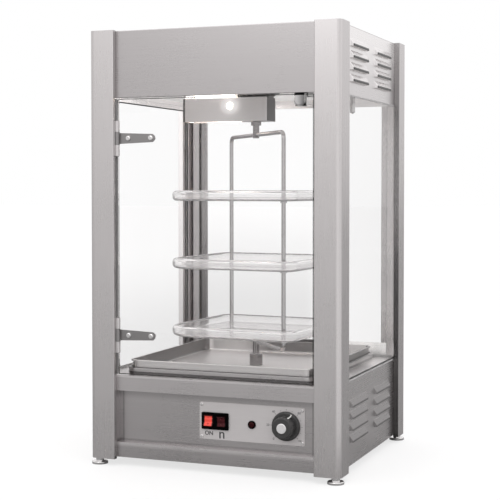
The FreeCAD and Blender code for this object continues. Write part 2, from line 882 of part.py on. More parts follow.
def drive_housing():
    wide = box_half_y - sheet
    rim_z = box_low + box_h
    skin = box(box_x0, box_x1, -box_half_y, box_half_y, box_low, rim_z)
    skin = skin.makeFillet(box_round, upright_edges(skin))
    hollow = box(box_x0 + sheet, box_x1 - sheet, -wide, wide, box_low + sheet, rim_z + past)
    hollow = hollow.makeFillet(box_round - sheet, upright_edges(hollow))
    slot = box_half_y - window_rim
    window = box(lamp_x0, lamp_x1, -slot, slot, box_low - past, box_low + sheet + past)
    shaft_hole = along_z(rack_x, 0, box_low - past, box_low + sheet + past, shaft_r + shaft_hole_gap)
    sight_x = lamp_x1 - sight_in
    sight = along_y(sight_x, -box_half_y - past, -wide + past, box_low + lamp_up, sight_r)
    shape = skin.cut(hollow).cut(window).cut(shaft_hole).cut(sight)
    tabs = []
    for x, xa, xb in ((box_x0, box_x0 - tab_len, box_x0), (box_x1 - sheet, box_x1, box_x1 + tab_len)):
        tabs.append(box(x, x + sheet, -tab_half, tab_half, rim_z - tab_lap, ceil_z))
        tabs.append(box(xa, xb, -tab_half, tab_half, ceil_z - sheet, ceil_z))
    save("drive_housing", joined([shape] + tabs))


def drive_and_lamp():
    low = box_low + sheet
    motor = along_z(rack_x, 0, low, low + motor_h, motor_r)
    shaft_top = low + shaft_in + shaft_end_gap
    save("gear_motor", motor.cut(along_z(rack_x, 0, low - past, shaft_top, shaft_r + turn_gap)))
    lamp_z = box_low + lamp_up
    left_x = lamp_x0 + holder_in
    right_x = lamp_x1 - holder_in - holder_len
    save("lamp_tube", along_x(left_x + holder_len, right_x, 0, lamp_z, lamp_r))
    holders = []
    for x in (left_x, right_x):
        half = holder_half
        block = box(x, x + holder_len, -half, half, lamp_z - half, lamp_z + half)
        stem_x = x + (holder_len - holder_stem) / 2
        stem = box(stem_x, stem_x + holder_stem, -holder_stem_half, holder_stem_half, lamp_z + half, ceil_z)
        holders.append(joined([block, stem]))
    save("lamp_holders", Part.makeCompound(holders))


def probe():
    low = ceil_z - probe_len
    seat = ceil_z - probe_collar_h
    collar = along_z(probe_x, 0, seat, ceil_z, probe_collar_r)
    sleeve = along_z(probe_x, 0, low, seat, probe_r)
    sleeve = sleeve.makeFillet(probe_r - probe_tip, edges_at_z(sleeve, low))
    save("temperature_probe", joined([collar, sleeve]))


def turned(shape):
    shape.rotate(V(0, 0, 0), V(0, 0, 1), rack_angle)
    shape.translate(V(rack_x, 0, 0))
    return shape


def tray_block(half, za, zb, rod_round, free_round):
    block = box(-half, half, -half, half, za, zb)
    for side, radius in ((-1, rod_round), (1, free_round)):
        corners = [e for e in upright_edges(block) if side * e.Vertexes[0].X * e.Vertexes[0].Y > 0]
        block = block.makeFillet(radius, corners)
    return block


def tray(rim):
    low = rim - tray_h
    floor = low + tray_wall
    body = tray_block(tray_half, low, rim, tray_rod_corner, tray_corner)
    body = body.makeFillet(tray_edge_r, edges_at_z(body, low) + edges_at_z(body, rim))
    half = tray_half - tray_wall
    roof = rim - tray_wall
    hollow = tray_block(half, floor, roof, tray_rod_corner - tray_wall, tray_corner - tray_wall)
    inner_r = tray_edge_r - tray_wall
    hollow = hollow.makeFillet(inner_r, edges_at_z(hollow, floor) + edges_at_z(hollow, roof))
    clear = tray_half - tray_mouth_in
    mouth = tray_block(clear, floor + tray_edge_r, rim + past, tray_rod_corner - tray_mouth_in, tray_corner - tray_mouth_in)
    shape = body.cut(hollow).cut(mouth)
    edge = [e for e in edges_at_z(shape, rim) if max(abs(e.BoundBox.XMin), abs(e.BoundBox.XMax)) < clear + past]
    shape = shape.makeFillet(tray_rim_r, edge)
    shape.rotate(V(0, 0, 0), V(0, 0, 1), 45)
    for x in (-rod_reach, rod_reach):
        shape = shape.cut(along_z(x, 0, low - past, floor + tray_edge_r, rod_r + tray_hole_gap))
    return turned(shape)


def rack():
    top = rack_top
    loop = [(rod_reach, 0, rack_low), (rod_reach, 0, top), (-rod_reach, 0, top), (-rod_reach, 0, rack_low)]
    frame = bent_rod(loop, rod_r, rod_bend, True)
    pin = along_z(0, 0, bush_floor_z + turn_gap, rack_low, pivot_r)
    save("rack_frame", turned(joined([frame, pin])))
    collars = []
    for k, name in enumerate(tray_names):
        rim = tray_rim_z + k * tray_pitch
        save(name, tray(rim))
        low = rim - tray_h
        for x in (-rod_reach, rod_reach):
            ring = along_z(x, 0, low - collar_h, low, collar_r)
            bore = along_z(x, 0, low - collar_h - past, low + past, rod_r + press_gap)
            collars.append(turned(ring.cut(bore)))
    save("tray_collars", Part.makeCompound(collars))


def drive_coupling():
    collar_top = box_low - coupling_gap
    collar_low = collar_top - coupling_h
    boss = along_z(0, 0, rack_top - boss_over, collar_low, boss_r)
    collar = along_z(0, 0, collar_low, collar_top, coupling_r)
    shaft = along_z(0, 0, collar_top, box_low + sheet + shaft_in, shaft_r)
    bar_hole = along_x(-coupling_r, coupling_r, 0, rack_top, rod_r + press_gap)
    save("drive_coupling", turned(joined([boss, collar, shaft]).cut(bar_hole)))


def pivot_bush():
    body = along_z(rack_x, 0, pan_floor_z, bush_top_z, bush_r)
    body = body.makeFillet(bush_round, edges_at_z(body, bush_top_z))
    body = body.cut(along_z(rack_x, 0, bush_floor_z, bush_top_z + past, pivot_r + turn_gap))
    low = pan_floor_z + bush_groove_up
    high = low + bush_groove_w
    core = along_z(rack_x, 0, low, high, bush_r - bush_groove_d)
    band = along_z(rack_x, 0, low, high, bush_r + past).cut(core)
    save("pivot_bush", body.cut(band))


def heater():
    z = deck_z - sheet - heater_gap - heater_r
    half = kerb_half_x - heater_side_in
    front = -kerb_half_y + heater_side_in
    back = kerb_half_y - heater_back_in
    path = [(-heater_lead, back, z), (-half, back, z), (-half, front, z), (half, front, z)]
    path += [(half, back, z), (heater_lead, back, z)]
    save("heating_element", bent_rod(path, heater_r, heater_bend, False))


def gland():
    turns = [k * math.pi / 3 for k in range(7)]
    hexagon = Part.makePolygon([V(gland_r * math.cos(a), 0, gland_r * math.sin(a)) for a in turns])
    nut = Part.Face(hexagon).extrude(V(0, gland_nut, 0))
    outer = nut.copy()
    inner_y0 = yi - sheet - gland_nut
    nut.translate(V(gland_x, inner_y0, gland_z))
    outer.translate(V(gland_x, yi, gland_z))
    start = inner_y0 - gland_stem_out
    stem = along_y(gland_x, start, yi, gland_z, gland_stem_r)
    end = yi + gland_nut + gland_dome
    dome = along_y(gland_x, yi + gland_nut, end, gland_z, gland_r - gland_dome_in)
    dome = dome.makeFillet(gland_dome_round, edges_at_y(dome, end))
    bore = along_y(gland_x, start - past, end + past, gland_z, gland_bore)
    save("cable_gland", joined([nut, outer, stem, dome]).cut(bore))


posts_and_feet()
side_panels()
hood_sheets()
base_sheets()
front_panel()
control_plate()
switches()
signal_lamp()
thermostat()
deck_and_pan()
panes()
door()
hinges_fixed()
catch()
drive_housing()
drive_and_lamp()
probe()
rack()
drive_coupling()
pivot_bush()
heater()
gland()
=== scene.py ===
import math

import bmesh
import bpy
from bpy.props import FloatProperty, FloatVectorProperty, IntProperty, PointerProperty
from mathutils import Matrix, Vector


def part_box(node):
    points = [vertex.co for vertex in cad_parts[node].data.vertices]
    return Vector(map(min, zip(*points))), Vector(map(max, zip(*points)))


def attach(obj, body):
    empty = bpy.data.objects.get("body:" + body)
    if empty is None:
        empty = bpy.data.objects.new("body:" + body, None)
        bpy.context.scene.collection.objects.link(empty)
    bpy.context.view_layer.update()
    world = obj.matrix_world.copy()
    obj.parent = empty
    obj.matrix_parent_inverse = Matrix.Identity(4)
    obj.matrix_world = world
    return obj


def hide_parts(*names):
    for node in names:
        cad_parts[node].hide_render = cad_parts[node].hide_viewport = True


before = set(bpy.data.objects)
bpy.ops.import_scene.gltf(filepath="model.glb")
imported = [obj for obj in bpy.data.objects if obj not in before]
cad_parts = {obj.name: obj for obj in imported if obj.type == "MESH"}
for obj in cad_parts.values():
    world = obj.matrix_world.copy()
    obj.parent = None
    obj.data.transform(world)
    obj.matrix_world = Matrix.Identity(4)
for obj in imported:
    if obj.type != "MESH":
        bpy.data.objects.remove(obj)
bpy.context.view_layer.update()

bl_info = {
    "name": "Heated display case",
    "version": (1, 0, 0),
    "blender": (4, 5, 0),
    "location": "View3D > Sidebar > Display Case",
    "description": "Finishes, dial marks and studio stage of a heated food display case",
    "category": "Object",
}

# Places on the CAD pieces, in metres.
PLATE_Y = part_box("control_plate")[0].y
KNOB_LOW, KNOB_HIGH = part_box("knob")
KNOB_X = (KNOB_LOW.x + KNOB_HIGH.x) / 2
KNOB_Z = (KNOB_LOW.z + KNOB_HIGH.z) / 2
SWITCH_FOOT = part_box("switch_frame")[0].z
HOUSING_LOW, HOUSING_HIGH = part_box("drive_housing")
LAMP_LOW, LAMP_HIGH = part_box("lamp_tube")
DECK_LOW, DECK_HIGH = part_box("deck_plate")
PAN_LOW, PAN_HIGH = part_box("drip_pan")
DOOR_LOW, DOOR_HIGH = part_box("door_glass")
CATCH_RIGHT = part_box("door_catch")[1].x
STRIKE_LOW, STRIKE_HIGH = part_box("door_strike")
RAIL_LOW, RAIL_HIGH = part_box("base_top_rail")
RECESS_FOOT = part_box("base_bottom_rail")[1].z
RECESS_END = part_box("base_front_panel")[1].x
SIDE_OVERLAP = 0.010                # from the back sheet's end to the outer face of the side sheets
SIDE_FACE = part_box("base_back")[1].x + SIDE_OVERLAP
BACK_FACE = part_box("hood_back")[1].y
HOOD_LOW, HOOD_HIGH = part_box("hood_front")
POST_END_X = -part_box("post_front_left")[1].x
POST_END_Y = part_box("post_rear_right")[0].y
POST_LOW, POST_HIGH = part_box("post_front_right")
POST_CORNER = (POST_HIGH.x, POST_LOW.y, 0.0)
# The lamp's glare on the front of the housing, a little right of the tube's end.
SIGHT = Vector((LAMP_HIGH.x + 0.002, HOUSING_LOW.y, (LAMP_LOW.z + LAMP_HIGH.z) / 2))

# Limits that tell one face of a CAD piece from the next.
SKIN = 0.0006                       # less than a sheet's thickness
PAN_RIM_X = PAN_HIGH.x - 0.0042     # inner edge of the pan's rolled rim
PAN_RIM_Y = PAN_HIGH.y - 0.0042
PAN_END = PAN_HIGH.x - 0.012        # where the pan's left and right walls start
PAN_FLOOR = PAN_LOW.z + 0.0019      # just above the pan's floor
GROUND_EDGE = 0.0012                # width of a ground or bright edge

# Light and shade.
FAR = 1000.0                        # radius that leaves an axis out
MOTOR_SHADE = ((-0.0115, 0.04, 0.0), (0.038, 0.12, FAR), math.radians(21.8))
CORNER_VIEW = (0.85, -0.527, 0.0)   # from the front right post to the pale floor that it mirrors
RIGHT_VIEW = (1.0, 0.0, 0.0)        # to the room's darker right wall
SIDE_VIEW = (0.33, 0.944, 0.0)      # to its darker part behind the case
GLASS_BOUNCES = 24
GLOSS_BOUNCES = 6

# Sizes of the printed marks.
INK_DEPTH = 0.00005
INK_LIFT = 0.00002
INK_BOLD = 0.0002
TICK_START = 0.0282
TICK_LONG = 0.0026
TICK_SHORT = 0.0016
TICK_WIDTH = 0.0006
TICK_DEPTH = 0.0001
DIAL_START = math.radians(225.0)
DIAL_SWEEP = math.radians(270.0)
DIAL_NUMBERS = ((225, "0", 0.0345), (180, "20", 0.0352), (135, "40", 0.0345), (45, "80", 0.0345), (-45, "120", 0.0355))
LONG_NUMBER = 0.8                   # size of a number with three digits
ARCH_SIZE, ARCH_DROP = 0.026, 0.0080
WORD_SIZE, WORD_DROP = 0.0105, 0.0076

# Sizes of the rockers.
ROCKER_WIDTH = 0.018
ROCKER_DEPTH = 0.012
ROCKER_HALF = 0.0094                # half the height of the face
ROCKER_DIP = 0.0018                 # depth of the hollow in the face
ROCKER_BULGE = 0.0018               # how far the body's ends swell
ROCKER_SLICES = 8
ROCKER_TILT = math.radians(8.0)
WINDOW_HALF = (0.0073, FAR, 0.0088)
BORDER_TONE = 0.06                  # the dark border beside the lit window
MARK_SIZE = 0.0045
MARK_LEVEL = 0.0058
MARK_DEPTH = 0.0001
TOUCH = 1e-5

# Sizes of the knob's pointer.
SKIRT_HEIGHT = 0.006
POINTER_WIDTH = 0.0024
BAR_REACH, BAR_LIFT = 0.0222, 0.0002
BAR_LENGTH, BAR_DEPTH = 0.006, 0.0006
FLANK_REACH, FLANK_LEAN = 0.0204, 0.0012
FLANK_WIDTH, FLANK_DEPTH = 0.0010, 0.012

# Sizes of the dark strip beside the door.
STRIP_LAP = 0.008                    # how far it reaches behind the post's edge
STRIP_GAP = 0.0020                   # room to the door
STRIP_DEPTH = 0.0044
STRIP_LIP = 0.0028                   # how much thinner it is behind the post

FRONT_POSTS = ("post_front_left", "post_front_right")
BASE_SIDES = ("base_side_left", "base_side_right")
HOOD_SIDES = ("hood_side_left", "hood_side_right")
TRAYS = ("tray_bottom", "tray_middle", "tray_top")
RODS = ("rack_frame", "tray_collars", "temperature_probe")
FEET = ("foot_front_left", "foot_front_right", "foot_rear_left", "foot_rear_right")


class SteelSettings(bpy.types.PropertyGroup):
    """Colours and gloss of the metal pieces."""

    sheet: FloatVectorProperty(
        name="Sheet", description="Colour of the satin stainless sheet", subtype="COLOR", min=0.0, max=1.0,
        default=(0.70, 0.675, 0.675))
    face: FloatVectorProperty(
        name="Face sheet", description="Colour of the front and back sheets", subtype="COLOR", min=0.0, max=1.0,
        default=(0.555, 0.533, 0.535))
    hood: FloatVectorProperty(
        name="Hood side", description="Colour of the hood's side sheets", subtype="COLOR", min=0.0, max=1.0,
        default=(0.82, 0.80, 0.802))
    deck: FloatVectorProperty(
        name="Deck", description="Colour of the deck under the pan", subtype="COLOR", min=0.0, max=1.0,
        default=(0.62, 0.60, 0.60))
    bright: FloatVectorProperty(
        name="Bright sheet", description="Colour of the pan and housing", subtype="COLOR", min=0.0, max=1.0,
        default=(0.70, 0.68, 0.675))
    plate: FloatVectorProperty(
        name="Control plate", description="Colour of the pale control plate", subtype="COLOR", min=0.0, max=1.0,
        default=(0.70, 0.675, 0.675))
    rod: FloatVectorProperty(
        name="Rod", description="Colour of the polished rods", subtype="COLOR", min=0.0, max=1.0,
        default=(0.60, 0.59, 0.59))
    bush: FloatVectorProperty(
        name="Bush", description="Colour of the coupling and the pivot bush", subtype="COLOR", min=0.0, max=1.0,
        default=(0.36, 0.35, 0.35))
    hinge: FloatVectorProperty(
        name="Hinge", description="Colour of the plain steel hinges", subtype="COLOR", min=0.0, max=1.0,
        default=(0.32, 0.31, 0.31))
    chrome: FloatVectorProperty(
        name="Chrome", description="Colour of the chromed pieces", subtype="COLOR", min=0.0, max=1.0,
        default=(0.82, 0.81, 0.81))
    satin: FloatProperty(
        name="Satin", description="Roughness of the satin sheet", subtype="FACTOR", min=0.05, max=1.0, default=0.29)
    grain: FloatProperty(
        name="Grain", description="Width of one brush line", subtype="DISTANCE", unit="LENGTH",
        min=0.0002, max=0.01, default=0.0012)


class GlassSettings(bpy.types.PropertyGroup):
    """Colours of the panes and trays."""

    pane: FloatVectorProperty(
        name="Pane", description="Tint of the flat panes", subtype="COLOR", min=0.0, max=1.0,
        default=(0.995, 0.994, 0.994))
    tray: FloatVectorProperty(
        name="Tray", description="Tint of the clear trays", subtype="COLOR", min=0.0, max=1.0,
        default=(0.968, 0.963, 0.965))
    pane_index: FloatProperty(
        name="Pane index", description="Index of refraction of the panes", min=1.0, max=2.0, default=1.12)
    tray_index: FloatProperty(
        name="Tray index", description="Index of refraction of the trays", min=1.0, max=2.0, default=1.32)
    tray_clear: FloatProperty(
        name="Tray clearness", description="How clear the trays are, the rest is a milky haze", subtype="FACTOR",
        min=0.5, max=1.0, default=0.88)


class ControlSettings(bpy.types.PropertyGroup):
    """Sizes and colours of the controls."""

    knob: FloatVectorProperty(
        name="Knob", description="Colour of the knob", subtype="COLOR", min=0.0, max=1.0,
        default=(0.058, 0.057, 0.057))
    pointer: FloatVectorProperty(
        name="Pointer", description="Colour of the knob's pointer", subtype="COLOR", min=0.0, max=1.0,
        default=(0.85, 0.85, 0.83))
    ink: FloatVectorProperty(
        name="Ink", description="Colour of the printed marks", subtype="COLOR", min=0.0, max=1.0,
        default=(0.03, 0.03, 0.032))
    lit: FloatVectorProperty(
        name="Lit rocker", description="Colour of the rocker that is on", subtype="COLOR", min=0.0, max=1.0,
        default=(0.80, 0.075, 0.055))
    unlit: FloatVectorProperty(
        name="Unlit rocker", description="Colour of the rocker that is off", subtype="COLOR", min=0.0, max=1.0,
        default=(0.058, 0.010, 0.013))
    number_size: FloatProperty(
        name="Number size", description="Height of the dial's numbers", subtype="DISTANCE", unit="LENGTH",
        min=0.002, max=0.01, default=0.006)
    pointer_angle: FloatProperty(
        name="Pointer angle", description="Where the knob points, from the right and upwards", subtype="ANGLE",
        unit="ROTATION", min=-math.pi, max=math.pi, default=math.radians(62.0))
    tick_count: IntProperty(
        name="Ticks", description="Number of marks on the dial", min=3, max=61, default=13)


class LampSettings(bpy.types.PropertyGroup):
    """Light of the lamp in the housing."""

    glow: FloatVectorProperty(
        name="Glow", description="Colour of the lamp's light", subtype="COLOR", min=0.0, max=1.0,
        default=(1.0, 0.96, 0.90))
    strength: FloatProperty(
        name="Strength", description="Strength of the lamp tube", min=0.0, max=400.0, default=90.0)


class StageSettings(bpy.types.PropertyGroup):
    """Camera, floor and light."""

    place: FloatVectorProperty(
        name="Camera place", description="Where the camera stands", subtype="TRANSLATION", unit="LENGTH",
        default=(0.8892, -2.2958, 0.5205))
    turn: FloatVectorProperty(
        name="Camera turn", description="How the camera is turned", subtype="EULER", unit="ROTATION",
        default=(math.radians(88.237), 0.0, math.radians(21.124)))
    lens: FloatProperty(
        name="Lens", description="Focal length in millimetres on a 36 mm sensor", min=10.0, max=300.0, default=90.08)
    shift: FloatVectorProperty(
        name="Shift", description="Shift of the camera's frame", size=2, default=(-0.0122, -0.0481))
    floor: FloatVectorProperty(
        name="Floor", description="Colour of the floor", subtype="COLOR", min=0.0, max=1.0,
        default=(0.27, 0.27, 0.27))
    right_power: FloatProperty(
        name="Right light", description="Power of the soft light on the right", unit="POWER", min=0.0, default=3.0)
    front_power: FloatProperty(
        name="Front light", description="Power of the soft light in front", unit="POWER", min=0.0, default=9.0)
    top_power: FloatProperty(
        name="Top light", description="Power of the soft light above", unit="POWER", min=0.0, default=12.0)


class DisplayCaseSettings(bpy.types.PropertyGroup):
    """All settings of the display case."""

    steel: PointerProperty(name="Steel", description="Metal finishes", type=SteelSettings)
    glass: PointerProperty(name="Glass", description="Panes and trays", type=GlassSettings)
    control: PointerProperty(name="Controls", description="Knob, switch and marks", type=ControlSettings)
    lamp: PointerProperty(name="Lamp", description="Light in the housing", type=LampSettings)
    stage: PointerProperty(name="Stage", description="Camera, floor and light", type=StageSettings)


def node(tree, kind, values=None, **options):
    """Adds a shader node with its socket values and options set."""
    made = tree.nodes.new("ShaderNode" + kind)
    for key, value in options.items():
        setattr(made, key, value)
    for key, value in (values or {}).items():
        made.inputs[key].default_value = value
    return made


def shader(name, values):
    """Makes a material with one surface shader and returns it with its node tree."""
    material = bpy.data.materials.new(name)
    material.use_nodes = True
    tree = material.node_tree
    tree.nodes.clear()
    surface = node(tree, "BsdfPrincipled", values)
    output = node(tree, "OutputMaterial")
    tree.links.new(surface.outputs["BSDF"], output.inputs["Surface"])
    return material, tree, surface


def surface_of(material):
    """The surface shader of a finish."""
    return next(n for n in material.node_tree.nodes if n.type == "BSDF_PRINCIPLED")


def tint(colour, level):
    """A colour made lighter or darker by level."""
    return tuple(part * level for part in colour)


def rgba(colour, level=1.0):
    """A colour with full alpha, made lighter or darker by level and no brighter than white."""
    return tuple(min(1.0, part) for part in tint(colour, level)) + (1.0,)


def noise(tree, scale, detail, roughness, stretch=(1.0, 1.0, 1.0)):
    """Noise in the piece's own space, stretched along the given axes."""
    space = node(tree, "TexCoord")
    mapping = node(tree, "Mapping", {"Scale": stretch})
    cloud = node(tree, "TexNoise", {"Scale": scale, "Detail": detail, "Roughness": roughness})
    tree.links.new(space.outputs["Object"], mapping.inputs["Vector"])
    tree.links.new(mapping.outputs["Vector"], cloud.inputs["Vector"])
    return cloud.outputs["Fac"]


def tinted(tree, factor, dark, light, *sockets, start=0.3, end=0.7):
    """Runs colour sockets from dark to light as the factor goes from start to end."""
    colours = node(tree, "ValToRGB")
    first, last = colours.color_ramp.elements
    first.position, first.color = start, dark
    last.position, last.color = end, light
    tree.links.new(factor, colours.inputs["Fac"])
    for socket in sockets:
        tree.links.new(colours.outputs["Color"], socket)


def combine(tree, operation, first, *others):
    """Joins a factor with others, one after another; each other is a socket or a number."""
    for other in others:
        made = node(tree, "Math", operation=operation)
        tree.links.new(first, made.inputs[0])
        if isinstance(other, bpy.types.NodeSocket):
            tree.links.new(other, made.inputs[1])
        else:
            made.inputs[1].default_value = other
        first = made.outputs["Value"]
    return first


def every(tree, *factors):
    """The factors times each other, so 1 only where all of them are 1."""
    return combine(tree, "MULTIPLY", *factors)


def either(tree, *factors):
    """The largest of the factors, so 1 where any of them is 1."""
    return combine(tree, "MAXIMUM", *factors)


def added(tree, *factors):
    """The sum of the factors."""
    return combine(tree, "ADD", *factors)


def along(tree, axis, folded=False):
    """The place along one axis of the piece, or how far it is from the middle when folded."""
    space = node(tree, "TexCoord")
    parts = node(tree, "SeparateXYZ")
    tree.links.new(space.outputs["Object"], parts.inputs["Vector"])
    if not folded:
        return parts.outputs[axis]
    size = node(tree, "Math", operation="ABSOLUTE")
    tree.links.new(parts.outputs[axis], size.inputs[0])
    return size.outputs["Value"]


def above(tree, axis, limit):
    """1 where the place along an axis is above its limit."""
    return combine(tree, "GREATER_THAN", along(tree, axis), limit)


def below(tree, axis, limit):
    """1 where the place along an axis is below its limit."""
    return combine(tree, "LESS_THAN", along(tree, axis), limit)


def outside(tree, axis, limit):
    """1 where a point is further from the middle than its limit."""
    return combine(tree, "GREATER_THAN", along(tree, axis, True), limit)


def within(tree, axis, limit):
    """1 where a point is nearer to the middle than its limit."""
    return combine(tree, "LESS_THAN", along(tree, axis, True), limit)


def span(tree, value, start, end, low, high, pace="LINEAR"):
    """Runs evenly from low to high as a value goes from start to end."""
    made = node(tree, "MapRange", {"From Min": start, "From Max": end, "To Min": low, "To Max": high},
                interpolation_type=pace)
    tree.links.new(value, made.inputs["Value"])
    return made.outputs["Result"]


def fade(tree, value, start, end, low=0.0, high=1.0):
    """Runs softly from low to high as a value goes from start to end."""
    return span(tree, value, start, end, low, high, "SMOOTHSTEP")


def ramp(tree, axis, start, end, low=0.0, high=1.0, folded=False):
    """Runs softly from low to high as the place along an axis goes from start to end."""
    return fade(tree, along(tree, axis, folded), start, end, low, high)


def around(tree, place, radii=(1.0, 1.0, 1.0), turn=0.0):
    """Where a point is, seen from a place and measured in these radii."""
    space = node(tree, "TexCoord")
    shift = node(tree, "Mapping", {"Location": place, "Rotation": (0.0, 0.0, turn), "Scale": radii},
                 vector_type="TEXTURE")
    tree.links.new(space.outputs["Object"], shift.inputs["Vector"])
    return shift.outputs["Vector"]


def oval(tree, place, radii, turn=0.0):
    """How far a point is from a place, 1 on the oval with these radii."""
    size = node(tree, "VectorMath", operation="LENGTH")
    tree.links.new(around(tree, place, radii, turn), size.inputs[0])
    return size.outputs["Value"]


def inset(tree, place, half):
    """How far a point is from a place, 1 on the block with these half sizes."""
    size = node(tree, "VectorMath", operation="ABSOLUTE")
    parts = node(tree, "SeparateXYZ")
    tree.links.new(around(tree, place, half), size.inputs[0])
    tree.links.new(size.outputs["Vector"], parts.inputs["Vector"])
    return either(tree, *(parts.outputs[axis] for axis in "XYZ"))


def toward(tree, vector, direction):
    """How well a vector points along a direction, 1 when it does fully."""
    unit = node(tree, "VectorMath", operation="NORMALIZE")
    aim = node(tree, "VectorMath", {1: direction}, operation="DOT_PRODUCT")
    tree.links.new(vector, unit.inputs[0])
    tree.links.new(unit.outputs["Vector"], aim.inputs[0])
    return aim.outputs["Value"]


def glow(material, strength, colour=(1.0, 0.985, 0.97)):
    """Lets a finish shine where the strength made for its tree is above 0."""
    tree = material.node_tree
    surface = surface_of(material)
    surface.inputs["Emission Color"].default_value = rgba(colour)
    tree.links.new(strength(tree), surface.inputs["Emission Strength"])


def shade(material, mask, level):
    """Darkens a finish where the mask made for its tree is 1, or lightens it if level is above 1."""
    tree = material.node_tree
    surface = surface_of(material)
    source = surface.inputs["Base Color"].links[0].from_socket
    mix = node(tree, "Mix", {7: (level, level, level, 1.0)}, data_type="RGBA", blend_type="MULTIPLY")
    tree.links.new(mask(tree), mix.inputs[0])
    tree.links.new(source, mix.inputs[6])
    tree.links.new(mix.outputs[2], surface.inputs["Base Color"])


def relief(tree, surface, height, strength, distance):
    """Lets a height pattern tilt the surface."""
    bump = node(tree, "Bump", {"Strength": strength, "Distance": distance})
    tree.links.new(height, bump.inputs["Height"])
    tree.links.new(bump.outputs["Normal"], surface.inputs["Normal"])


def brushed_metal(name, colour, rough, grain, course, spread=0.05, tone=0.02, values=None):
    """Metal brushed along one axis, with a little handling haze."""
    material, tree, surface = shader(name, values or {"Metallic": 1.0})
    fine = 1.0 / grain
    stretch = tuple(fine * 0.012 if axis == course else fine for axis in "XYZ")
    lines = noise(tree, 1.0, 5.0, 0.62, stretch)
    haze = noise(tree, 9.0, 4.0, 0.6)
    tinted(tree, lines, rgba(colour, 1.0 - tone), rgba(colour, 1.0 + tone), surface.inputs["Base Color"])
    gloss = span(tree, added(tree, lines, haze), 0.7, 1.3, rough - spread, rough + spread)
    tree.links.new(gloss, surface.inputs["Roughness"])
    relief(tree, surface, lines, 0.04, grain * 0.06)
    return material


def cloudy(name, dark, light, rough, scale, spread=0.06, values=None, grain=None, depth=0.0):
    """Painted, moulded or cast surface with an uneven tone and, if it has a grain, a fine relief."""
    material, tree, surface = shader(name, values or {})
    cloud = noise(tree, scale, 5.0, 0.6)
    tinted(tree, cloud, rgba(dark), rgba(light), surface.inputs["Base Color"])
    gloss = span(tree, cloud, 0.3, 0.7, rough + spread, rough - spread)
    tree.links.new(gloss, surface.inputs["Roughness"])
    if grain:
        relief(tree, surface, noise(tree, 1.0 / grain, 3.0, 0.5), 0.25, depth)
    return material


def clear(name, colour, index, rough=0.0, wave=0.0, weight=1.0):
    """Clear glass or plastic that lets light through to what is behind it."""
    material, tree, surface = shader(name, {"Transmission Weight": weight, "IOR": index, "Roughness": rough})
    cloud = noise(tree, 6.0, 3.0, 0.5)
    tinted(tree, cloud, rgba(colour, 0.992), rgba(colour), surface.inputs["Base Color"])
    if wave:
        relief(tree, surface, noise(tree, 5.0, 2.0, 0.4), 0.15, wave)
    path = node(tree, "LightPath")
    straight = node(tree, "BsdfTransparent", {"Color": rgba(colour, 0.97)})
    mix = node(tree, "MixShader")
    output = next(n for n in tree.nodes if n.type == "OUTPUT_MATERIAL")
    tree.links.new(path.outputs["Is Shadow Ray"], mix.inputs["Fac"])
    tree.links.new(surface.outputs["BSDF"], mix.inputs[1])
    tree.links.new(straight.outputs["BSDF"], mix.inputs[2])
    tree.links.new(mix.outputs["Shader"], output.inputs["Surface"])
    return material


def straight_view(tree):
    """1 for what the camera sees directly or through glass, 0 for what a surface reflects."""
    path = node(tree, "LightPath")
    seen = either(tree, path.outputs["Is Camera Ray"], path.outputs["Is Transmission Ray"])
    bounces = added(tree, path.outputs["Glossy Depth"], path.outputs["Diffuse Depth"])
    return every(tree, seen, combine(tree, "LESS_THAN", bounces, 0.5))


def dress(names, material, shades=(), light=None):
    """Gives CAD nodes their finish, with its shaded places and its light."""
    for mask, level in shades:
        shade(material, mask, level)
    if light:
        glow(material, light)
    for name in names:
        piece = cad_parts[name]
        if not piece.material_slots:
            piece.data.materials.append(material)
        for place in piece.material_slots:
            place.material = material


def middle_of(name):
    """The middle of a CAD node's box."""
    low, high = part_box(name)
    return Vector((low + high) / 2)


def select_only(piece=None):
    """Leaves one piece, or nothing, selected."""
    bpy.ops.object.select_all(action="DESELECT")
    if piece:
        piece.select_set(True)
    bpy.context.view_layer.objects.active = piece


def edit(piece):
    """Opens a piece in edit mode with nothing selected."""
    select_only(piece)
    bpy.ops.object.mode_set(mode="EDIT")
    bpy.ops.mesh.select_all(action="DESELECT")


def choose(piece, test):
    """Selects the points of an open piece by their place."""
    bpy.ops.mesh.select_all(action="DESELECT")
    mesh = bmesh.from_edit_mesh(piece.data)
    for point in mesh.verts:
        point.select = test(piece.matrix_world @ point.co)
    mesh.select_flush_mode()
    bmesh.update_edit_mesh(piece.data)


def cut(place, normal):
    """Cuts the open piece along a plane and keeps both sides."""
    bpy.ops.mesh.select_all(action="SELECT")
    bpy.ops.mesh.bisect(plane_co=place, plane_no=normal)


def turn_mesh(piece, angle, axis, centre):
    """Turns a piece's mesh about an axis through a point."""
    edit(piece)
    bpy.ops.mesh.select_all(action="SELECT")
    bpy.ops.transform.rotate(value=angle, orient_axis=axis, center_override=centre)
    bpy.ops.object.mode_set(mode="OBJECT")


def rounded(piece, width, segments):
    """Rounds the sharp edges of a piece."""
    select_only(piece)
    edge = piece.modifiers.new("edge", "BEVEL")
    edge.width = width
    edge.segments = segments
    edge.limit_method = "ANGLE"
    edge.angle_limit = math.radians(30.0)
    bpy.ops.object.modifier_apply(modifier=edge.name)


def settle(piece, name, material, body):
    """Puts a new piece's place into its mesh, dresses it and lets it move with its body."""
    select_only(piece)
    bpy.ops.object.transform_apply(location=True, rotation=True, scale=True)
    bpy.ops.object.shade_smooth_by_angle(angle=math.radians(35.0))
    piece.name = name
    piece.data.name = name
    piece.data.materials.clear()
    piece.data.materials.append(material)
    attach(piece, body)
    select_only()


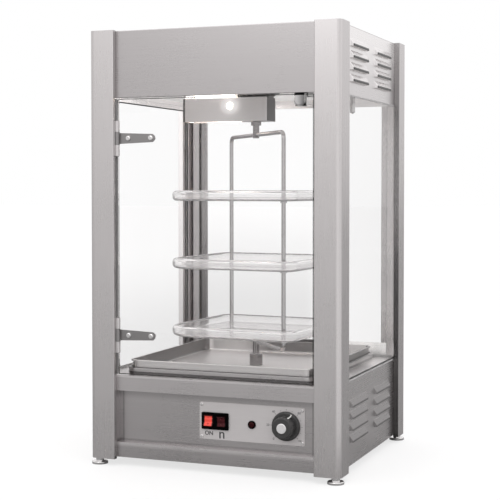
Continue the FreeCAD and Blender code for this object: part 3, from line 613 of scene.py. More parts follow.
def block(place, size):
    """Adds a block of the given size at its place."""
    select_only()
    bpy.ops.mesh.primitive_cube_add(size=1.0, location=place)
    piece = bpy.context.object
    bpy.ops.object.mode_set(mode="EDIT")
    bpy.ops.mesh.select_all(action="SELECT")
    bpy.ops.transform.resize(value=size, center_override=place)
    bpy.ops.object.mode_set(mode="OBJECT")
    return piece


def lettering(words, size, place, thickness, weight=0.0):
    """Adds upright printed letters that face the front, made bolder by weight."""
    select_only()
    bpy.ops.object.text_add(location=(0.0, 0.0, 0.0))
    text = bpy.context.object
    text.data.body = words
    text.data.size = size
    text.data.align_x = "CENTER"
    text.data.align_y = "CENTER"
    text.data.extrude = thickness
    text.data.offset = weight
    bpy.ops.object.convert(target="MESH")
    piece = bpy.context.object
    piece.rotation_euler = (math.pi / 2, 0.0, 0.0)
    piece.location = place
    bpy.ops.object.transform_apply(location=True, rotation=True, scale=True)
    return piece


def turned_copy(piece, angle, centre):
    """Copies a piece with its own mesh and turns it about the front-to-back axis through a point."""
    select_only(piece)
    bpy.ops.object.duplicate(linked=False)
    copy = bpy.context.object
    turn_mesh(copy, angle, "Y", centre)
    return copy


def join(pieces):
    """Joins pieces into the first one."""
    select_only()
    for piece in pieces:
        piece.select_set(True)
    bpy.context.view_layer.objects.active = pieces[0]
    bpy.ops.object.join()
    return bpy.context.object


class CaseOperator:
    """What all steps share."""

    bl_options = {"REGISTER"}

    def settings(self, context):
        """The settings of the display case."""
        return context.scene.display_case


class DISPLAYCASE_OT_sheets(CaseOperator, bpy.types.Operator):
    """Brushed finish on posts, panels, pan, deck and hood"""

    bl_idname = "displaycase.sheets"
    bl_label = "Steel sheets"

    def execute(self, context):
        steel = self.settings(context).steel
        # Shades below 1 are painted shade and shades above 1 are painted highlights; each light is painted light.
        sheets = (
            ("steel_post_front", steel.sheet, "Z", FRONT_POSTS, ((self.post_end_shade, 0.75),), None),
            ("steel_post_rear", steel.sheet, "Z", ("post_rear_right",),
             ((self.post_end_shade, 0.45), (self.low_end_shade, 0.4)), None),
            ("steel_post_left", steel.sheet, "Z", ("post_rear_left", "pane_retainers"),
             ((self.lit_leg_end, 1.4), (self.back_leg_shade, 0.68)), self.leg_light),
            # The top rail is a lighter copy of the face sheet, as painted light.
            ("steel_rail", tint(steel.face, 1.17), "X", ("base_top_rail",), ((self.rail_highlight, 1.25),), None),
            ("steel_low_rail", steel.face, "X", ("base_bottom_rail",), ((self.low_rail_highlight, 1.5),), None),
            ("steel_fascia", tint(steel.face, 0.945), "X", ("hood_front",), (), None),
            ("steel_recess", steel.face, "X", ("base_front_panel",),
             ((self.recess_foot_shade, 0.55), (self.recess_fold_shade, 0.72), (self.rail_shadow, 0.76)), None),
            ("steel_brushed_deep", steel.sheet, "Y", ("hood_top", "base_floor"), (), None),
            ("steel_base_side", steel.sheet, "Y", BASE_SIDES, ((self.base_louvre_shade, 0.37),), None),
            ("steel_hood_side", steel.hood, "Y", HOOD_SIDES, ((self.hood_slot_shade, 0.04),), self.hood_light),
            ("steel_hood_back", steel.face, "X", ("hood_back",), (), self.back_light),
            ("steel_base_back", steel.face, "X", ("base_back",), (), self.rear_light),
        )
        for name, colour, course, nodes, shades, light in sheets:
            dress(nodes, brushed_metal(name, colour, steel.satin, steel.grain, course), shades, light)
        pan = brushed_metal("steel_pan", steel.bright, 0.42, steel.grain, "X", spread=0.03)
        pan_shades = ((self.pan_side_shade, 0.42), (self.pan_end_shade, 0.45), (self.right_rim_shade, 0.55))
        dress(("drip_pan",), pan, pan_shades, self.pan_light)
        deck = brushed_metal("steel_deck", steel.deck, 0.3, steel.grain, "X", spread=0.04)
        dress(("deck_plate",), deck, ((self.kerb_shade, 0.30),), self.corner_light)
        ceiling = brushed_metal("steel_ceiling", tint(steel.bright, 1.25), 0.5, steel.grain, "X",
                                values={"Metallic": 0.2, "Specular IOR Level": 0.05})
        dress(("hood_ceiling",), ceiling, ((self.motor_shadow, 0.10), (self.tube_end, 0.15)), self.lamp_light)
        return {"FINISHED"}

    def post_end_shade(self, tree):
        """The narrow ends of a post's two legs, which get painted shade."""
        return either(tree, within(tree, "X", POST_END_X + SKIN), within(tree, "Y", POST_END_Y + SKIN))

    def low_end_shade(self, tree):
        """The lower half of the post's narrow ends, with painted shade that grows towards the bottom."""
        return every(tree, self.post_end_shade(tree), ramp(tree, "Z", 0.52, 0.30))

    def lit_leg_end(self, tree):
        """The end of the rear left post's side leg, inside the case, lightened as a painted highlight."""
        return below(tree, "Y", POST_END_Y + SKIN)

    def back_leg_shade(self, tree):
        """The rear left post's leg that shows through the back pane, in painted shade."""
        return within(tree, "X", POST_END_X + 0.0145)

    def leg_light(self, tree):
        """Painted light on the lightened leg end and on the retaining strips of the right half."""
        end = every(tree, self.lit_leg_end(tree), ramp(tree, "Z", 0.30, 0.60, 0.16, 0.29))
        return added(tree, end, every(tree, above(tree, "X", 0.0), 0.10))

    def rail_highlight(self, tree):
        """The upper fold of the top rail, with a painted highlight."""
        return above(tree, "Z", RAIL_HIGH.z - 0.004)

    def low_rail_highlight(self, tree):
        """The upper edge of the bottom rail, with a painted highlight."""
        return ramp(tree, "Z", RECESS_FOOT - 0.010, RECESS_FOOT - 0.001)

    def recess_foot_shade(self, tree):
        """Painted shade on the folded wall along the foot of the recess."""
        return ramp(tree, "Z", RECESS_FOOT + 0.0075, RECESS_FOOT + 0.0025)

    def recess_fold_shade(self, tree):
        """A line of painted shade along the fold beside each end of the recess."""
        return every(tree, outside(tree, "X", RECESS_END - 0.0112), within(tree, "X", RECESS_END - 0.0082))

    def rail_shadow(self, tree):
        """The shade of the top rail on the recess."""
        return ramp(tree, "Z", RAIL_LOW.z - 0.018, RAIL_LOW.z - 0.003)

    def base_louvre_shade(self, tree):
        """The pressed louvres of the base's sides, darkened with painted shade."""
        return outside(tree, "X", SIDE_FACE + 0.0001)

    def hood_slot_shade(self, tree):
        """The outermost part of the hood's pressed louvres, painted dark as the shade of the slots."""
        return outside(tree, "X", SIDE_FACE + 0.0050)

    def hood_light(self, tree):
        """Light of the lamp inside the hood's sides and of the room on their upper part."""
        inner = within(tree, "X", SIDE_FACE - 0.0007)
        upper = ramp(tree, "Z", HOOD_LOW.z + 0.013, HOOD_HIGH.z - 0.010, 0.0, 0.17)
        flush = within(tree, "X", SIDE_FACE + 0.0003)
        return either(tree, every(tree, inner, 0.17), every(tree, upper, flush))

    def back_light(self, tree):
        """Light of the lamp inside the hood's back."""
        return every(tree, below(tree, "Y", BACK_FACE - SKIN), 0.22)

    def pan_inside(self, tree):
        """What lies inside the pan's rim."""
        return every(tree, within(tree, "X", PAN_RIM_X), within(tree, "Y", PAN_RIM_Y))

    def pan_walls(self, tree):
        """The inner faces of the pan's four walls."""
        return every(tree, self.pan_inside(tree), above(tree, "Z", PAN_FLOOR))

    def long_walls(self, tree):
        """The inner faces of the pan's front and back walls."""
        return every(tree, self.pan_walls(tree), within(tree, "X", PAN_END))

    def pan_side_shade(self, tree):
        """The inner faces of the pan's left and right walls, which get painted shade."""
        return every(tree, self.pan_walls(tree), outside(tree, "X", PAN_END))

    def pan_end_shade(self, tree):
        """Painted shade on the upper part of the pan's front and back walls inside, round the middle."""
        upper = ramp(tree, "Z", PAN_LOW.z + 0.004, PAN_LOW.z + 0.008)
        left = ramp(tree, "X", -0.10, -0.03)
        right = ramp(tree, "X", 0.13, 0.07)
        return every(tree, self.long_walls(tree), upper, left, right)

    def right_rim_shade(self, tree):
        """The right side of the pan's rim, dimmed with painted shade."""
        return above(tree, "X", PAN_RIM_X)

    def pan_light(self, tree):
        """Light of the lamp on the pan's floor, on the ends of its long walls and on its rim."""
        floor = every(tree, self.pan_inside(tree), below(tree, "Z", PAN_FLOOR), 0.015)
        walls = every(tree, self.long_walls(tree), ramp(tree, "X", 0.04, 0.12, 0.0, 0.09, folded=True))
        rim = every(tree, outside(tree, "Y", PAN_RIM_Y), 0.035)
        return added(tree, floor, walls, rim)

    def rear_light(self, tree):
        """Daylight on the right end of the base's back, above the deck."""
        inside = below(tree, "Y", BACK_FACE - SKIN)
        right = ramp(tree, "X", 0.06, 0.10)
        level = ramp(tree, "Z", DECK_LOW.z + 0.004, DECK_LOW.z + 0.022, 0.29, 0.60)
        return every(tree, inside, right, level)

    def corner_light(self, tree):
        """Daylight on the deck's rear right corner."""
        right = ramp(tree, "X", PAN_HIGH.x, PAN_HIGH.x + 0.005)
        return every(tree, right, ramp(tree, "Y", 0.05, 0.12, 0.0, 0.12))

    def kerb_shade(self, tree):
        """Painted shade on the foot and the upper rim of the deck's kerb."""
        height = DECK_HIGH.z - DECK_LOW.z
        foot = every(tree, below(tree, "Z", DECK_LOW.z + height * 0.45), above(tree, "Z", DECK_LOW.z + 0.0018))
        return either(tree, foot, above(tree, "Z", DECK_HIGH.z - height * 0.10))

    def motor_shadow(self, tree, away=0.0, inside=1.0):
        """The patch of the ceiling that the motor keeps from the lamp."""
        return fade(tree, oval(tree, *MOTOR_SHADE), 1.04, 0.92, away, inside)

    def tube_end(self, tree):
        """The part of the motor's shadow that is nearest to the lamp."""
        return every(tree, self.motor_shadow(tree), ramp(tree, "X", -0.005, -0.035))

    def lamp_light(self, tree):
        """The lamp's light on the ceiling, strongest above the tube."""
        wide = fade(tree, oval(tree, (-0.10, 0.04, 0.0), (0.5, 0.5, FAR)), 0.0, 1.0, 0.36, 0.18)
        spot = fade(tree, oval(tree, (-0.104, 0.045, 0.0), (0.068, 0.076, FAR)), 0.7, 1.0, 2.2, 0.0)
        return every(tree, added(tree, wide, spot), self.motor_shadow(tree, 1.0, 0.0))


class DISPLAYCASE_OT_glazing(CaseOperator, bpy.types.Operator):
    """Clear panes and door with their rubber seals"""

    bl_idname = "displaycase.glazing"
    bl_label = "Glazing"

    def execute(self, context):
        glass = self.settings(context).glass
        for pane, name, shades in (
            ("glass_right", "pane_glass", ()),
            ("glass_back", "back_glass", ((self.back_pane_darkening, 0.78),)),
            ("glass_left", "left_glass", ((self.left_pane_darkening, 0.84),)),
            ("door_glass", "door_glass", ((self.ground_edges, 0.12),)),
        ):
            dress((pane,), clear(name, glass.pane, glass.pane_index), shades)
        dress(("glazing_seals",), self.rubber("pane_rubber", (0.52, 0.515, 0.515), (0.58, 0.575, 0.575)))
        dark = self.rubber("strip_grey", (0.25, 0.247, 0.247), (0.31, 0.307, 0.307))
        settle(self.side_strip(), "door_side_strip", dark, "case")
        return {"FINISHED"}

    def rubber(self, name, dark, light):
        """Matte rubber."""
        return cloudy(name, dark, light, 0.62, 90.0, spread=0.08, grain=0.0006, depth=0.00002)

    def back_pane_darkening(self, tree):
        """The lower left part of the back pane, tinted darker towards the bottom."""
        return every(tree, ramp(tree, "Z", 0.50, 0.24), ramp(tree, "X", 0.09, 0.03))

    def left_pane_darkening(self, tree):
        """The lower part of the left pane, tinted darker towards the bottom."""
        return ramp(tree, "Z", 0.40, 0.20)

    def ground_edges(self, tree):
        """The ground edges of the door's pane."""
        right = above(tree, "X", DOOR_HIGH.x - 0.0032)
        top = above(tree, "Z", DOOR_HIGH.z - GROUND_EDGE)
        bottom = below(tree, "Z", DOOR_LOW.z + GROUND_EDGE)
        return either(tree, right, top, bottom)

    def side_strip(self):
        """Dark strip behind the front left post's edge, beside the door's hinge side, that gives the dark line in the
        gap there.
        """
        left = -POST_END_X - STRIP_LAP
        right = DOOR_LOW.x - STRIP_GAP
        low, high = DOOR_LOW.z, DOOR_HIGH.z
        middle = Vector(((left + right) / 2, HOOD_LOW.y + STRIP_DEPTH / 2, (low + high) / 2))
        strip = block(middle, (right - left, STRIP_DEPTH, high - low))
        edit(strip)
        cut((-POST_END_X - SKIN, 0.0, 0.0), (1.0, 0.0, 0.0))
        choose(strip, lambda p: p.y > middle.y and p.x < left + 0.001)
        bpy.ops.transform.translate(value=(0.0, -STRIP_LIP, 0.0))
        bpy.ops.object.mode_set(mode="OBJECT")
        rounded(strip, 0.0006, 3)
        return strip


class DISPLAYCASE_OT_rack(CaseOperator, bpy.types.Operator):
    """Clear trays on the turning rod rack"""

    bl_idname = "displaycase.rack"
    bl_label = "Rack and trays"

    def execute(self, context):
        settings = self.settings(context)
        glass = settings.glass
        steel = settings.steel
        dress(TRAYS, clear("tray_plastic", glass.tray, glass.tray_index, 0.03, 0.0006, glass.tray_clear))
        dress(RODS, brushed_metal("rod_polished", steel.rod, 0.16, 0.0006, "Z", tone=0.04))
        bush = brushed_metal("bush_steel", steel.bush, 0.22, 0.0006, "Z", tone=0.04)
        dress(("drive_coupling", "pivot_bush"), bush)
        return {"FINISHED"}


class DISPLAYCASE_OT_hinges(CaseOperator, bpy.types.Operator):
    """Hinges, screws, strike and catch of the door"""

    bl_idname = "displaycase.hinges"
    bl_label = "Hinges and catch"

    def execute(self, context):
        steel = self.settings(context).steel
        plain = brushed_metal("hinge_steel", steel.hinge, 0.38, 0.0007, "X", 0.06, 0.08)
        dress(("hinge_straps", "hinge_pins"), plain)
        dress(("hinge_brackets",), brushed_metal("hinge_bright", steel.sheet, 0.3, 0.0007, "Z", 0.06, 0.05))
        chrome = brushed_metal("chrome_bright", steel.chrome, 0.14, 0.0005, "X", 0.04, 0.03)
        dress(("strap_screws", "control_screws"), chrome)
        strike = brushed_metal("strike_chrome", tint(steel.chrome, 0.8), 0.1, 0.0005, "X", 0.03, 0.03)
        dress(("door_strike",), strike, ((self.strike_top, 0.02), (self.strike_end_shade, 0.3)), self.strike_edges)
        black = cloudy("catch_plastic", (0.016, 0.016, 0.017), (0.03, 0.03, 0.031), 0.42, 60.0,
                       spread=0.05, grain=0.0008, depth=0.00003)
        dress(("door_catch",), black, light=self.catch_end)
        return {"FINISHED"}

    def strike_top(self, tree):
        """The strike's upper edge under the catch."""
        return above(tree, "Z", STRIKE_HIGH.z - 0.0034)

    def strike_end_shade(self, tree):
        """The strike's right part, darkened towards its end with painted shade."""
        return ramp(tree, "X", STRIKE_LOW.x + 0.003, STRIKE_HIGH.x)

    def strike_edges(self, tree):
        """Light on the strike's right and lower edges."""
        right = above(tree, "X", STRIKE_HIGH.x - GROUND_EDGE)
        low = below(tree, "Z", STRIKE_LOW.z + GROUND_EDGE)
        return every(tree, either(tree, right, low), 0.22)

    def catch_end(self, tree):
        """Light on the catch's right end."""
        return every(tree, above(tree, "X", CATCH_RIGHT - SKIN), 0.28)


class DISPLAYCASE_OT_housing(CaseOperator, bpy.types.Operator):
    """Drive housing with its lamp and motor"""

    bl_idname = "displaycase.housing"
    bl_label = "Lamp and drive"

    def execute(self, context):
        settings = self.settings(context)
        steel = settings.steel
        skin = brushed_metal("housing_steel", tint(steel.bright, 0.97), 0.34, steel.grain, "X", tone=0.04,
                             values={"Metallic": 0.85})
        dress(("drive_housing",), skin, ((self.housing_ends, 0.2), (self.lamp_side, 1.34)), self.glare)
        dress(("lamp_tube",), self.tube(settings.lamp))
        ceramic = cloudy("lamp_ceramic", (0.78, 0.77, 0.73), (0.88, 0.87, 0.84), 0.5, 70.0, grain=0.001, depth=0.00003)
        dress(("lamp_holders",), ceramic)
        zinc = cloudy("zinc_plated", (0.42, 0.43, 0.44), (0.62, 0.63, 0.63), 0.38, 120.0,
                      spread=0.1, values={"Metallic": 1.0})
        dress(("gear_motor", "thermostat_body", "thermostat_spindle"), zinc)
        return {"FINISHED"}

    def tube(self, lamp):
        """Lit quartz tube that turns amber at its ends."""
        quartz, tree, surface = shader("lamp_quartz", {"Base Color": rgba(lamp.glow), "Roughness": 0.2,
                                                       "Emission Strength": lamp.strength})
        half = (LAMP_HIGH.x - LAMP_LOW.x) / 2
        reach = oval(tree, middle_of("lamp_tube"), (half, FAR, FAR))
        tinted(tree, reach, rgba(lamp.glow), rgba((0.9, 0.55, 0.3)), surface.inputs["Emission Color"],
               start=0.8, end=1.0)
        return quartz

    def housing_ends(self, tree):
        """The two ends of the housing, which turn away from the light."""
        right = above(tree, "X", HOUSING_HIGH.x - 0.0130)
        left = below(tree, "X", HOUSING_LOW.x + 0.0180)
        return either(tree, right, every(tree, left, below(tree, "Z", HOUSING_HIGH.z - 0.0082)))

    def lamp_side(self, tree):
        """The left half of the housing, which the lamp lights."""
        return ramp(tree, "X", 0.01, -0.06)

    def glare(self, tree):
        """The lamp's glare round the end of the tube."""
        return fade(tree, oval(tree, SIGHT, (0.029, FAR, 0.024)), 0.0, 1.0, 0.5, 0.0)


class DISPLAYCASE_OT_plate(CaseOperator, bpy.types.Operator):
    """Control plate with its dial ticks, numbers and switch marks"""

    bl_idname = "displaycase.plate"
    bl_label = "Control plate"

    def execute(self, context):
        settings = self.settings(context)
        control = settings.control
        plate = brushed_metal("plate_satin", settings.steel.plate, 0.5, 0.0008, "X", 0.06, 0.03, {"Metallic": 0.5})
        dress(("control_plate",), plate)
        ink = cloudy("dial_ink", control.ink, tint(control.ink, 2.0), 0.55, 400.0)
        settle(self.ticks(control), "dial_ticks", ink, "case")
        settle(self.numbers(control), "dial_numbers", ink, "case")
        settle(self.word("n", ARCH_SIZE, "rocker_right", ARCH_DROP), "arch_mark", ink, "case")
        settle(self.word("ON", WORD_SIZE, "rocker_left", WORD_DROP), "on_mark", ink, "case")
        return {"FINISHED"}

    def tick(self, centre, length):
        """One mark that points to the right of the knob."""
        made = block(centre + Vector((TICK_START + length / 2, 0.0, 0.0)), (length, TICK_DEPTH, TICK_WIDTH))
        rounded(made, 0.00003, 1)
        return made

    def ticks(self, control):
        """Marks round the knob, one longer mark at every second step."""
        centre = Vector((KNOB_X, PLATE_Y, KNOB_Z))
        kinds = [self.tick(centre, length) for length in (TICK_LONG, TICK_SHORT)]
        made = []
        for index in range(control.tick_count):
            angle = DIAL_START - index * DIAL_SWEEP / (control.tick_count - 1)
            made.append(turned_copy(kinds[index % 2], angle, centre))
        for tick in kinds:
            bpy.data.objects.remove(tick)
        return join(made)

    def numbers(self, control):
        """Numbers of the dial where the plate leaves room for them."""
        made = []
        for angle, words, reach in DIAL_NUMBERS:
            turn = math.radians(angle)
            place = (KNOB_X + reach * math.cos(turn), PLATE_Y - INK_LIFT, KNOB_Z + reach * math.sin(turn))
            size = control.number_size * (LONG_NUMBER if len(words) == 3 else 1.0)
            made.append(lettering(words, size, place, INK_DEPTH))
        return join(made)

    def word(self, words, size, rocker, drop):
        """Bold mark under a rocker: the arch of the heat or the word of the lamp."""
        place = (middle_of(rocker).x, PLATE_Y - INK_LIFT, SWITCH_FOOT - drop)
        return lettering(words, size, place, INK_DEPTH, INK_BOLD)


class DISPLAYCASE_OT_switch(CaseOperator, bpy.types.Operator):
    """Twin rocker switch with one rocker lit"""

    bl_idname = "displaycase.switch"
    bl_label = "Rocker switch"

    def execute(self, context):
        control = self.settings(context).control
        black = cloudy("switch_plastic", (0.0012, 0.0012, 0.0014), (0.0025, 0.0025, 0.003), 0.4, 80.0,
                       spread=0.05, values={"Specular IOR Level": 0.02}, grain=0.0006, depth=0.00002)
        dress(("switch_frame", "cable_gland", "signal_bezel"), black)
        lit, tree, surface = shader("rocker_lit", {"Roughness": 0.25, "Specular IOR Level": 0.4})
        tinted(tree, noise(tree, 120.0, 2.0, 0.5), rgba(control.lit, 0.9), rgba(control.lit),
               surface.inputs["Base Color"], surface.inputs["Emission Color"])
        glow(lit, lambda tree: self.window(tree, "rocker_left", 0.3, 0.0))
        unlit = cloudy("rocker_unlit", control.unlit, tint(control.unlit, 1.8), 0.25, 110.0,
                       spread=0.05, values={"Specular IOR Level": 0.08})
        mark = cloudy("rocker_mark", (0.16, 0.03, 0.03), (0.22, 0.04, 0.04), 0.45, 300.0)
        for name, turn, finish, slot in (
            ("rocker_left", -ROCKER_TILT, lit, "red_lit"),
            ("rocker_right", ROCKER_TILT, unlit, "red_dark"),
        ):
            shade(finish, lambda tree, name=name: self.window(tree, name, 0.0, 1.0), BORDER_TONE)
            cap = self.rocker(name, turn)
            settle(cap, name + "_cap", finish, name)
            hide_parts(name)
            marks = self.marks(name, turn)
            settle(marks, name + "_marks", mark, name)
        return {"FINISHED"}

    def window(self, tree, name, inside, border):
        """The clear red middle of a rocker inside its dark border."""
        return fade(tree, inset(tree, middle_of(name), WINDOW_HALF), 0.9, 1.06, inside, border)

    def hollow(self, level):
        """How deep the rocker's face is at a height from its middle."""
        return ROCKER_DIP * (1.0 - (level / ROCKER_HALF) ** 2)

    def rocker(self, name, turn):
        """Rocker with a hollow front face and a barrel-shaped body."""
        middle = middle_of(name)
        cap = block(middle, (ROCKER_WIDTH, ROCKER_DEPTH, 2 * ROCKER_HALF))
        face = middle.y - ROCKER_DEPTH / 3
        end = ROCKER_HALF - 0.0001
        edit(cap)
        for index in range(1, ROCKER_SLICES):
            level = -ROCKER_HALF + 2 * ROCKER_HALF * index / ROCKER_SLICES
            cut(middle + Vector((0.0, 0.0, level)), (0.0, 0.0, 1.0))
            choose(cap, lambda p, level=level: p.y < face and abs(p.z - middle.z - level) < TOUCH)
            bpy.ops.transform.translate(value=(0.0, self.hollow(level), 0.0))
        cut(middle, (0.0, 1.0, 0.0))
        for side in (-1.0, 1.0):
            choose(cap, lambda p, side=side: abs(p.y - middle.y) < TOUCH and side * (p.z - middle.z) > end)
            bpy.ops.transform.translate(value=(0.0, 0.0, side * ROCKER_BULGE))
        bpy.ops.object.mode_set(mode="OBJECT")
        rounded(cap, 0.0006, 3)
        turn_mesh(cap, -turn, "X", middle)
        return cap

    def marks(self, name, turn):
        """On and off marks moulded on the rocker's two ends."""
        middle = middle_of(name)
        made = []
        for words, level in (("I", MARK_LEVEL), ("O", -MARK_LEVEL)):
            slope = math.atan(2.0 * ROCKER_DIP * level / ROCKER_HALF ** 2)
            place = middle + Vector((0.0, self.hollow(level) - ROCKER_DEPTH / 2 - MARK_DEPTH, level))
            piece = lettering(words, MARK_SIZE, place, MARK_DEPTH)
            turn_mesh(piece, -slope, "X", place)
            made.append(piece)
        both = join(made)
        turn_mesh(both, -turn, "X", middle)
        return both


class DISPLAYCASE_OT_knob(CaseOperator, bpy.types.Operator):
    """Thermostat knob with its cap and pointer, and the signal lamp"""

    bl_idname = "displaycase.knob"
    bl_label = "Knob and signal lamp"

    def execute(self, context):
        control = self.settings(context).control
        grip = cloudy("knob_plastic", tint(control.knob, 0.7), control.knob, 0.36, 70.0,
                      spread=0.05, grain=0.0007, depth=0.00003)
        dress(("knob",), grip)
        dress(("knob_cap",), self.turned_cap())
        white = cloudy("pointer_white", control.pointer, tint(control.pointer, 0.93), 0.4, 200.0)
        settle(self.pointer(control), "knob_pointer", white, "knob")
        lens = cloudy("signal_red", (0.022, 0.002, 0.003), (0.04, 0.003, 0.004), 0.12, 90.0,
                      spread=0.04, values={"Specular IOR Level": 0.12}, grain=0.0009, depth=0.0001)
        dress(("signal_lens",), lens)
        return {"FINISHED"}

    def turned_cap(self):
        """Bright metal with the fine rings of the lathe."""
        cap, tree, surface = shader("cap_turned", {"Metallic": 0.6, "Roughness": 0.3})
        rings = node(tree, "TexWave", {"Scale": 900.0, "Distortion": 0.4}, wave_type="RINGS", rings_direction="Y")
        tree.links.new(around(tree, (KNOB_X, 0.0, KNOB_Z)), rings.inputs["Vector"])
        tinted(tree, rings.outputs["Fac"], rgba((0.93, 0.92, 0.92)), rgba((0.99, 0.98, 0.98)),
               surface.inputs["Base Color"])
        relief(tree, surface, rings.outputs["Fac"], 0.2, 0.00003)
        return cap

    def pointer(self, control):
        """White bar on the knob's skirt that runs up the grip's flank."""
        centre = Vector((KNOB_X, KNOB_HIGH.y, KNOB_Z))
        skirt = KNOB_HIGH.y - SKIRT_HEIGHT
        bar = block(Vector((KNOB_X + BAR_REACH, skirt - BAR_LIFT, KNOB_Z)), (BAR_LENGTH, BAR_DEPTH, POINTER_WIDTH))
        level = skirt - FLANK_DEPTH / 2
        flank = block(Vector((KNOB_X + FLANK_REACH, level, KNOB_Z)), (FLANK_WIDTH, FLANK_DEPTH, POINTER_WIDTH))
        edit(flank)
        choose(flank, lambda p: p.y < level)
        bpy.ops.transform.translate(value=(-FLANK_LEAN, 0.0, 0.0))
        bpy.ops.object.mode_set(mode="OBJECT")
        for piece in (bar, flank):
            rounded(piece, 0.0002, 2)
        both = join([bar, flank])
        turn_mesh(both, control.pointer_angle, "Y", centre)
        return both


class DISPLAYCASE_OT_base(CaseOperator, bpy.types.Operator):
    """Feet and the heating element"""

    bl_idname = "displaycase.base"
    bl_label = "Feet and heater"

    def execute(self, context):
        steel = self.settings(context).steel
        dress(FEET, brushed_metal("foot_chrome", steel.chrome, 0.12, 0.0008, "Z", 0.04, 0.03))
        sheath = cloudy("heater_sheath", (0.16, 0.14, 0.13), (0.30, 0.28, 0.27), 0.5, 60.0,
                        spread=0.1, values={"Metallic": 1.0})
        dress(("heating_element",), sheath)
        return {"FINISHED"}


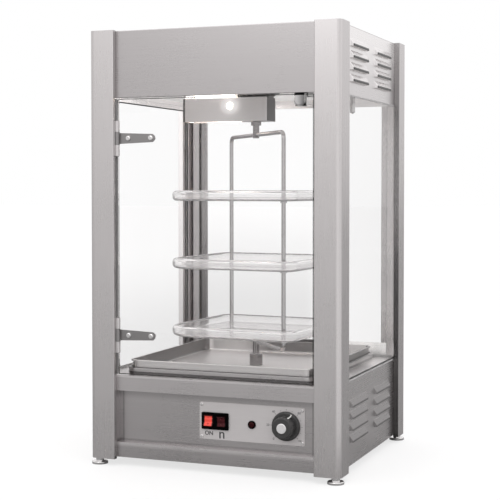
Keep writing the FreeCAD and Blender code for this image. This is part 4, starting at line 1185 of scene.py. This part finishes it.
class DISPLAYCASE_OT_stage(CaseOperator, bpy.types.Operator):
    """Camera, floor, soft lights and a white room"""

    bl_idname = "displaycase.stage"
    bl_label = "Stage"

    def execute(self, context):
        stage = self.settings(context).stage
        scene = context.scene
        scene.view_settings.view_transform = "Standard"
        scene.cycles.max_bounces = GLASS_BOUNCES
        scene.cycles.transmission_bounces = GLASS_BOUNCES
        scene.cycles.transparent_max_bounces = GLASS_BOUNCES
        scene.cycles.glossy_bounces = GLOSS_BOUNCES
        self.camera(scene, stage)
        self.floor(stage)
        self.room(scene)
        for name, power, place, turn, size in (
            ("light_right", stage.right_power, (2.4, 0.4, 1.9), (0.0, 62.0, 5.0), 2.6),
            ("light_front", stage.front_power, (-0.5, -3.0, 2.1), (62.0, 0.0, -10.0), 1.8),
            ("light_top", stage.top_power, (0.2, -0.5, 2.5), (-12.0, 0.0, 0.0), 2.2),
        ):
            self.light(scene, name, power, place, [math.radians(angle) for angle in turn], size)
        return {"FINISHED"}

    def camera(self, scene, stage):
        """Camera at the photograph's viewing angle."""
        view = bpy.data.cameras.new("camera")
        view.lens = stage.lens
        view.sensor_width = 36.0
        view.shift_x, view.shift_y = stage.shift
        view.clip_start = 0.05
        view.dof.use_dof = False
        camera = bpy.data.objects.new("camera", view)
        camera.location = stage.place
        camera.rotation_euler = stage.turn
        scene.collection.objects.link(camera)
        scene.camera = camera

    def floor(self, stage):
        """Wide pale floor that keeps the case's shadow."""
        select_only()
        bpy.ops.mesh.primitive_plane_add(size=60.0, location=(0.0, 0.0, 0.0))
        ground = bpy.context.object
        ground.name = "floor"
        pale, tree, surface = shader("floor_paper", {"Roughness": 0.9, "Specular IOR Level": 0.1})
        grain = noise(tree, 3.0, 3.0, 0.5)
        tinted(tree, grain, rgba(stage.floor, 0.99), rgba(stage.floor), surface.inputs["Base Color"])
        seen = straight_view(tree)
        glossy = node(tree, "LightPath").outputs["Is Glossy Ray"]
        bounced = combine(tree, "GREATER_THAN", combine(tree, "SUBTRACT", glossy, seen), 0.5)
        mirrored = every(tree, added(tree, self.far_floor(tree), self.corner_floor(tree)), bounced)
        strength = added(tree, mirrored, every(tree, seen, 0.71))
        tree.links.new(strength, surface.inputs["Emission Strength"])
        surface.inputs["Emission Color"].default_value = (1.0, 1.0, 1.0, 1.0)
        ground.data.materials.append(pale)

    def far_floor(self, tree):
        """How light the floor looks in the metal, lighter far away and in front."""
        distance = oval(tree, (0.0, 0.0, 0.0), (1.0, 1.0, FAR))
        front = every(tree, fade(tree, distance, 0.7, 4.0, 0.04, 0.14), ramp(tree, "Y", 0.3, -0.3))
        return added(tree, front, fade(tree, distance, 0.7, 4.0, 0.02, 0.10))

    def corner_floor(self, tree):
        """The lighter sector of the floor that the front right post mirrors."""
        sector = fade(tree, toward(tree, around(tree, POST_CORNER), CORNER_VIEW), 0.30, 0.75, 0.0, 0.31)
        return every(tree, sector, fade(tree, oval(tree, POST_CORNER, (1.0, 1.0, FAR)), 0.15, 0.45))

    def room(self, scene):
        """White room: white behind the case and through its glass, softer light from the front."""
        world = bpy.data.worlds.new("room")
        world.use_nodes = True
        tree = world.node_tree
        tree.nodes.clear()
        space = node(tree, "TexCoord")
        parts = node(tree, "SeparateXYZ")
        tree.links.new(space.outputs["Generated"], parts.inputs["Vector"])
        rise = span(tree, parts.outputs["Z"], -0.14, 0.30, 0.56, 1.06)
        total = added(tree, rise, span(tree, parts.outputs["X"], -1.0, 1.0, -0.12, 0.22))
        for view, start, end, dip in ((RIGHT_VIEW, 0.5, 0.9, 0.26), (SIDE_VIEW, 0.80, 0.95, 0.14)):
            facing = toward(tree, space.outputs["Generated"], view)
            total = combine(tree, "SUBTRACT", total, fade(tree, facing, start, end, 0.0, dip))
        walls = node(tree, "Background", {"Color": (1.0, 0.985, 0.985, 1.0)})
        tree.links.new(total, walls.inputs["Strength"])
        white = node(tree, "Background", {"Color": (1.0, 1.0, 1.0, 1.0), "Strength": 1.0})
        mix = node(tree, "MixShader")
        tree.links.new(straight_view(tree), mix.inputs["Fac"])
        tree.links.new(walls.outputs["Background"], mix.inputs[1])
        tree.links.new(white.outputs["Background"], mix.inputs[2])
        output = node(tree, "OutputWorld")
        tree.links.new(mix.outputs["Shader"], output.inputs["Surface"])
        scene.world = world

    def light(self, scene, name, power, place, turn, size):
        """One soft square light."""
        lamp = bpy.data.lights.new(name, "AREA")
        lamp.shape = "SQUARE"
        lamp.size = size
        lamp.energy = power
        made = bpy.data.objects.new(name, lamp)
        made.location = place
        made.rotation_euler = turn
        made.visible_camera = False
        made.visible_transmission = False
        scene.collection.objects.link(made)


STEPS = (
    DISPLAYCASE_OT_stage,
    DISPLAYCASE_OT_sheets,
    DISPLAYCASE_OT_glazing,
    DISPLAYCASE_OT_rack,
    DISPLAYCASE_OT_hinges,
    DISPLAYCASE_OT_housing,
    DISPLAYCASE_OT_plate,
    DISPLAYCASE_OT_switch,
    DISPLAYCASE_OT_knob,
    DISPLAYCASE_OT_base,
)


class DISPLAYCASE_PT_panel(bpy.types.Panel):
    """Lists the steps that dress the display case"""

    bl_idname = "DISPLAYCASE_PT_panel"
    bl_label = "Display Case"
    bl_space_type = "VIEW_3D"
    bl_region_type = "UI"
    bl_category = "Display Case"

    def draw(self, context):
        for step in STEPS:
            self.layout.operator(step.bl_idname)


CLASSES = (
    SteelSettings, GlassSettings, ControlSettings, LampSettings, StageSettings, DisplayCaseSettings,
) + STEPS + (DISPLAYCASE_PT_panel,)


def register():
    """Makes the settings, steps and panel known to Blender."""
    for item in CLASSES:
        bpy.utils.register_class(item)
    bpy.types.Scene.display_case = PointerProperty(type=DisplayCaseSettings)


def unregister():
    """Takes the settings, steps and panel out again."""
    del bpy.types.Scene.display_case
    for item in reversed(CLASSES):
        bpy.utils.unregister_class(item)


def main():
    """Dresses the case step by step."""
    register()
    bpy.ops.displaycase.stage()
    bpy.ops.displaycase.sheets()
    bpy.ops.displaycase.glazing()
    bpy.ops.displaycase.rack()
    bpy.ops.displaycase.hinges()
    bpy.ops.displaycase.housing()
    bpy.ops.displaycase.plate()
    bpy.ops.displaycase.switch()
    bpy.ops.displaycase.knob()
    bpy.ops.displaycase.base()


if __name__ == "__main__":
    main()
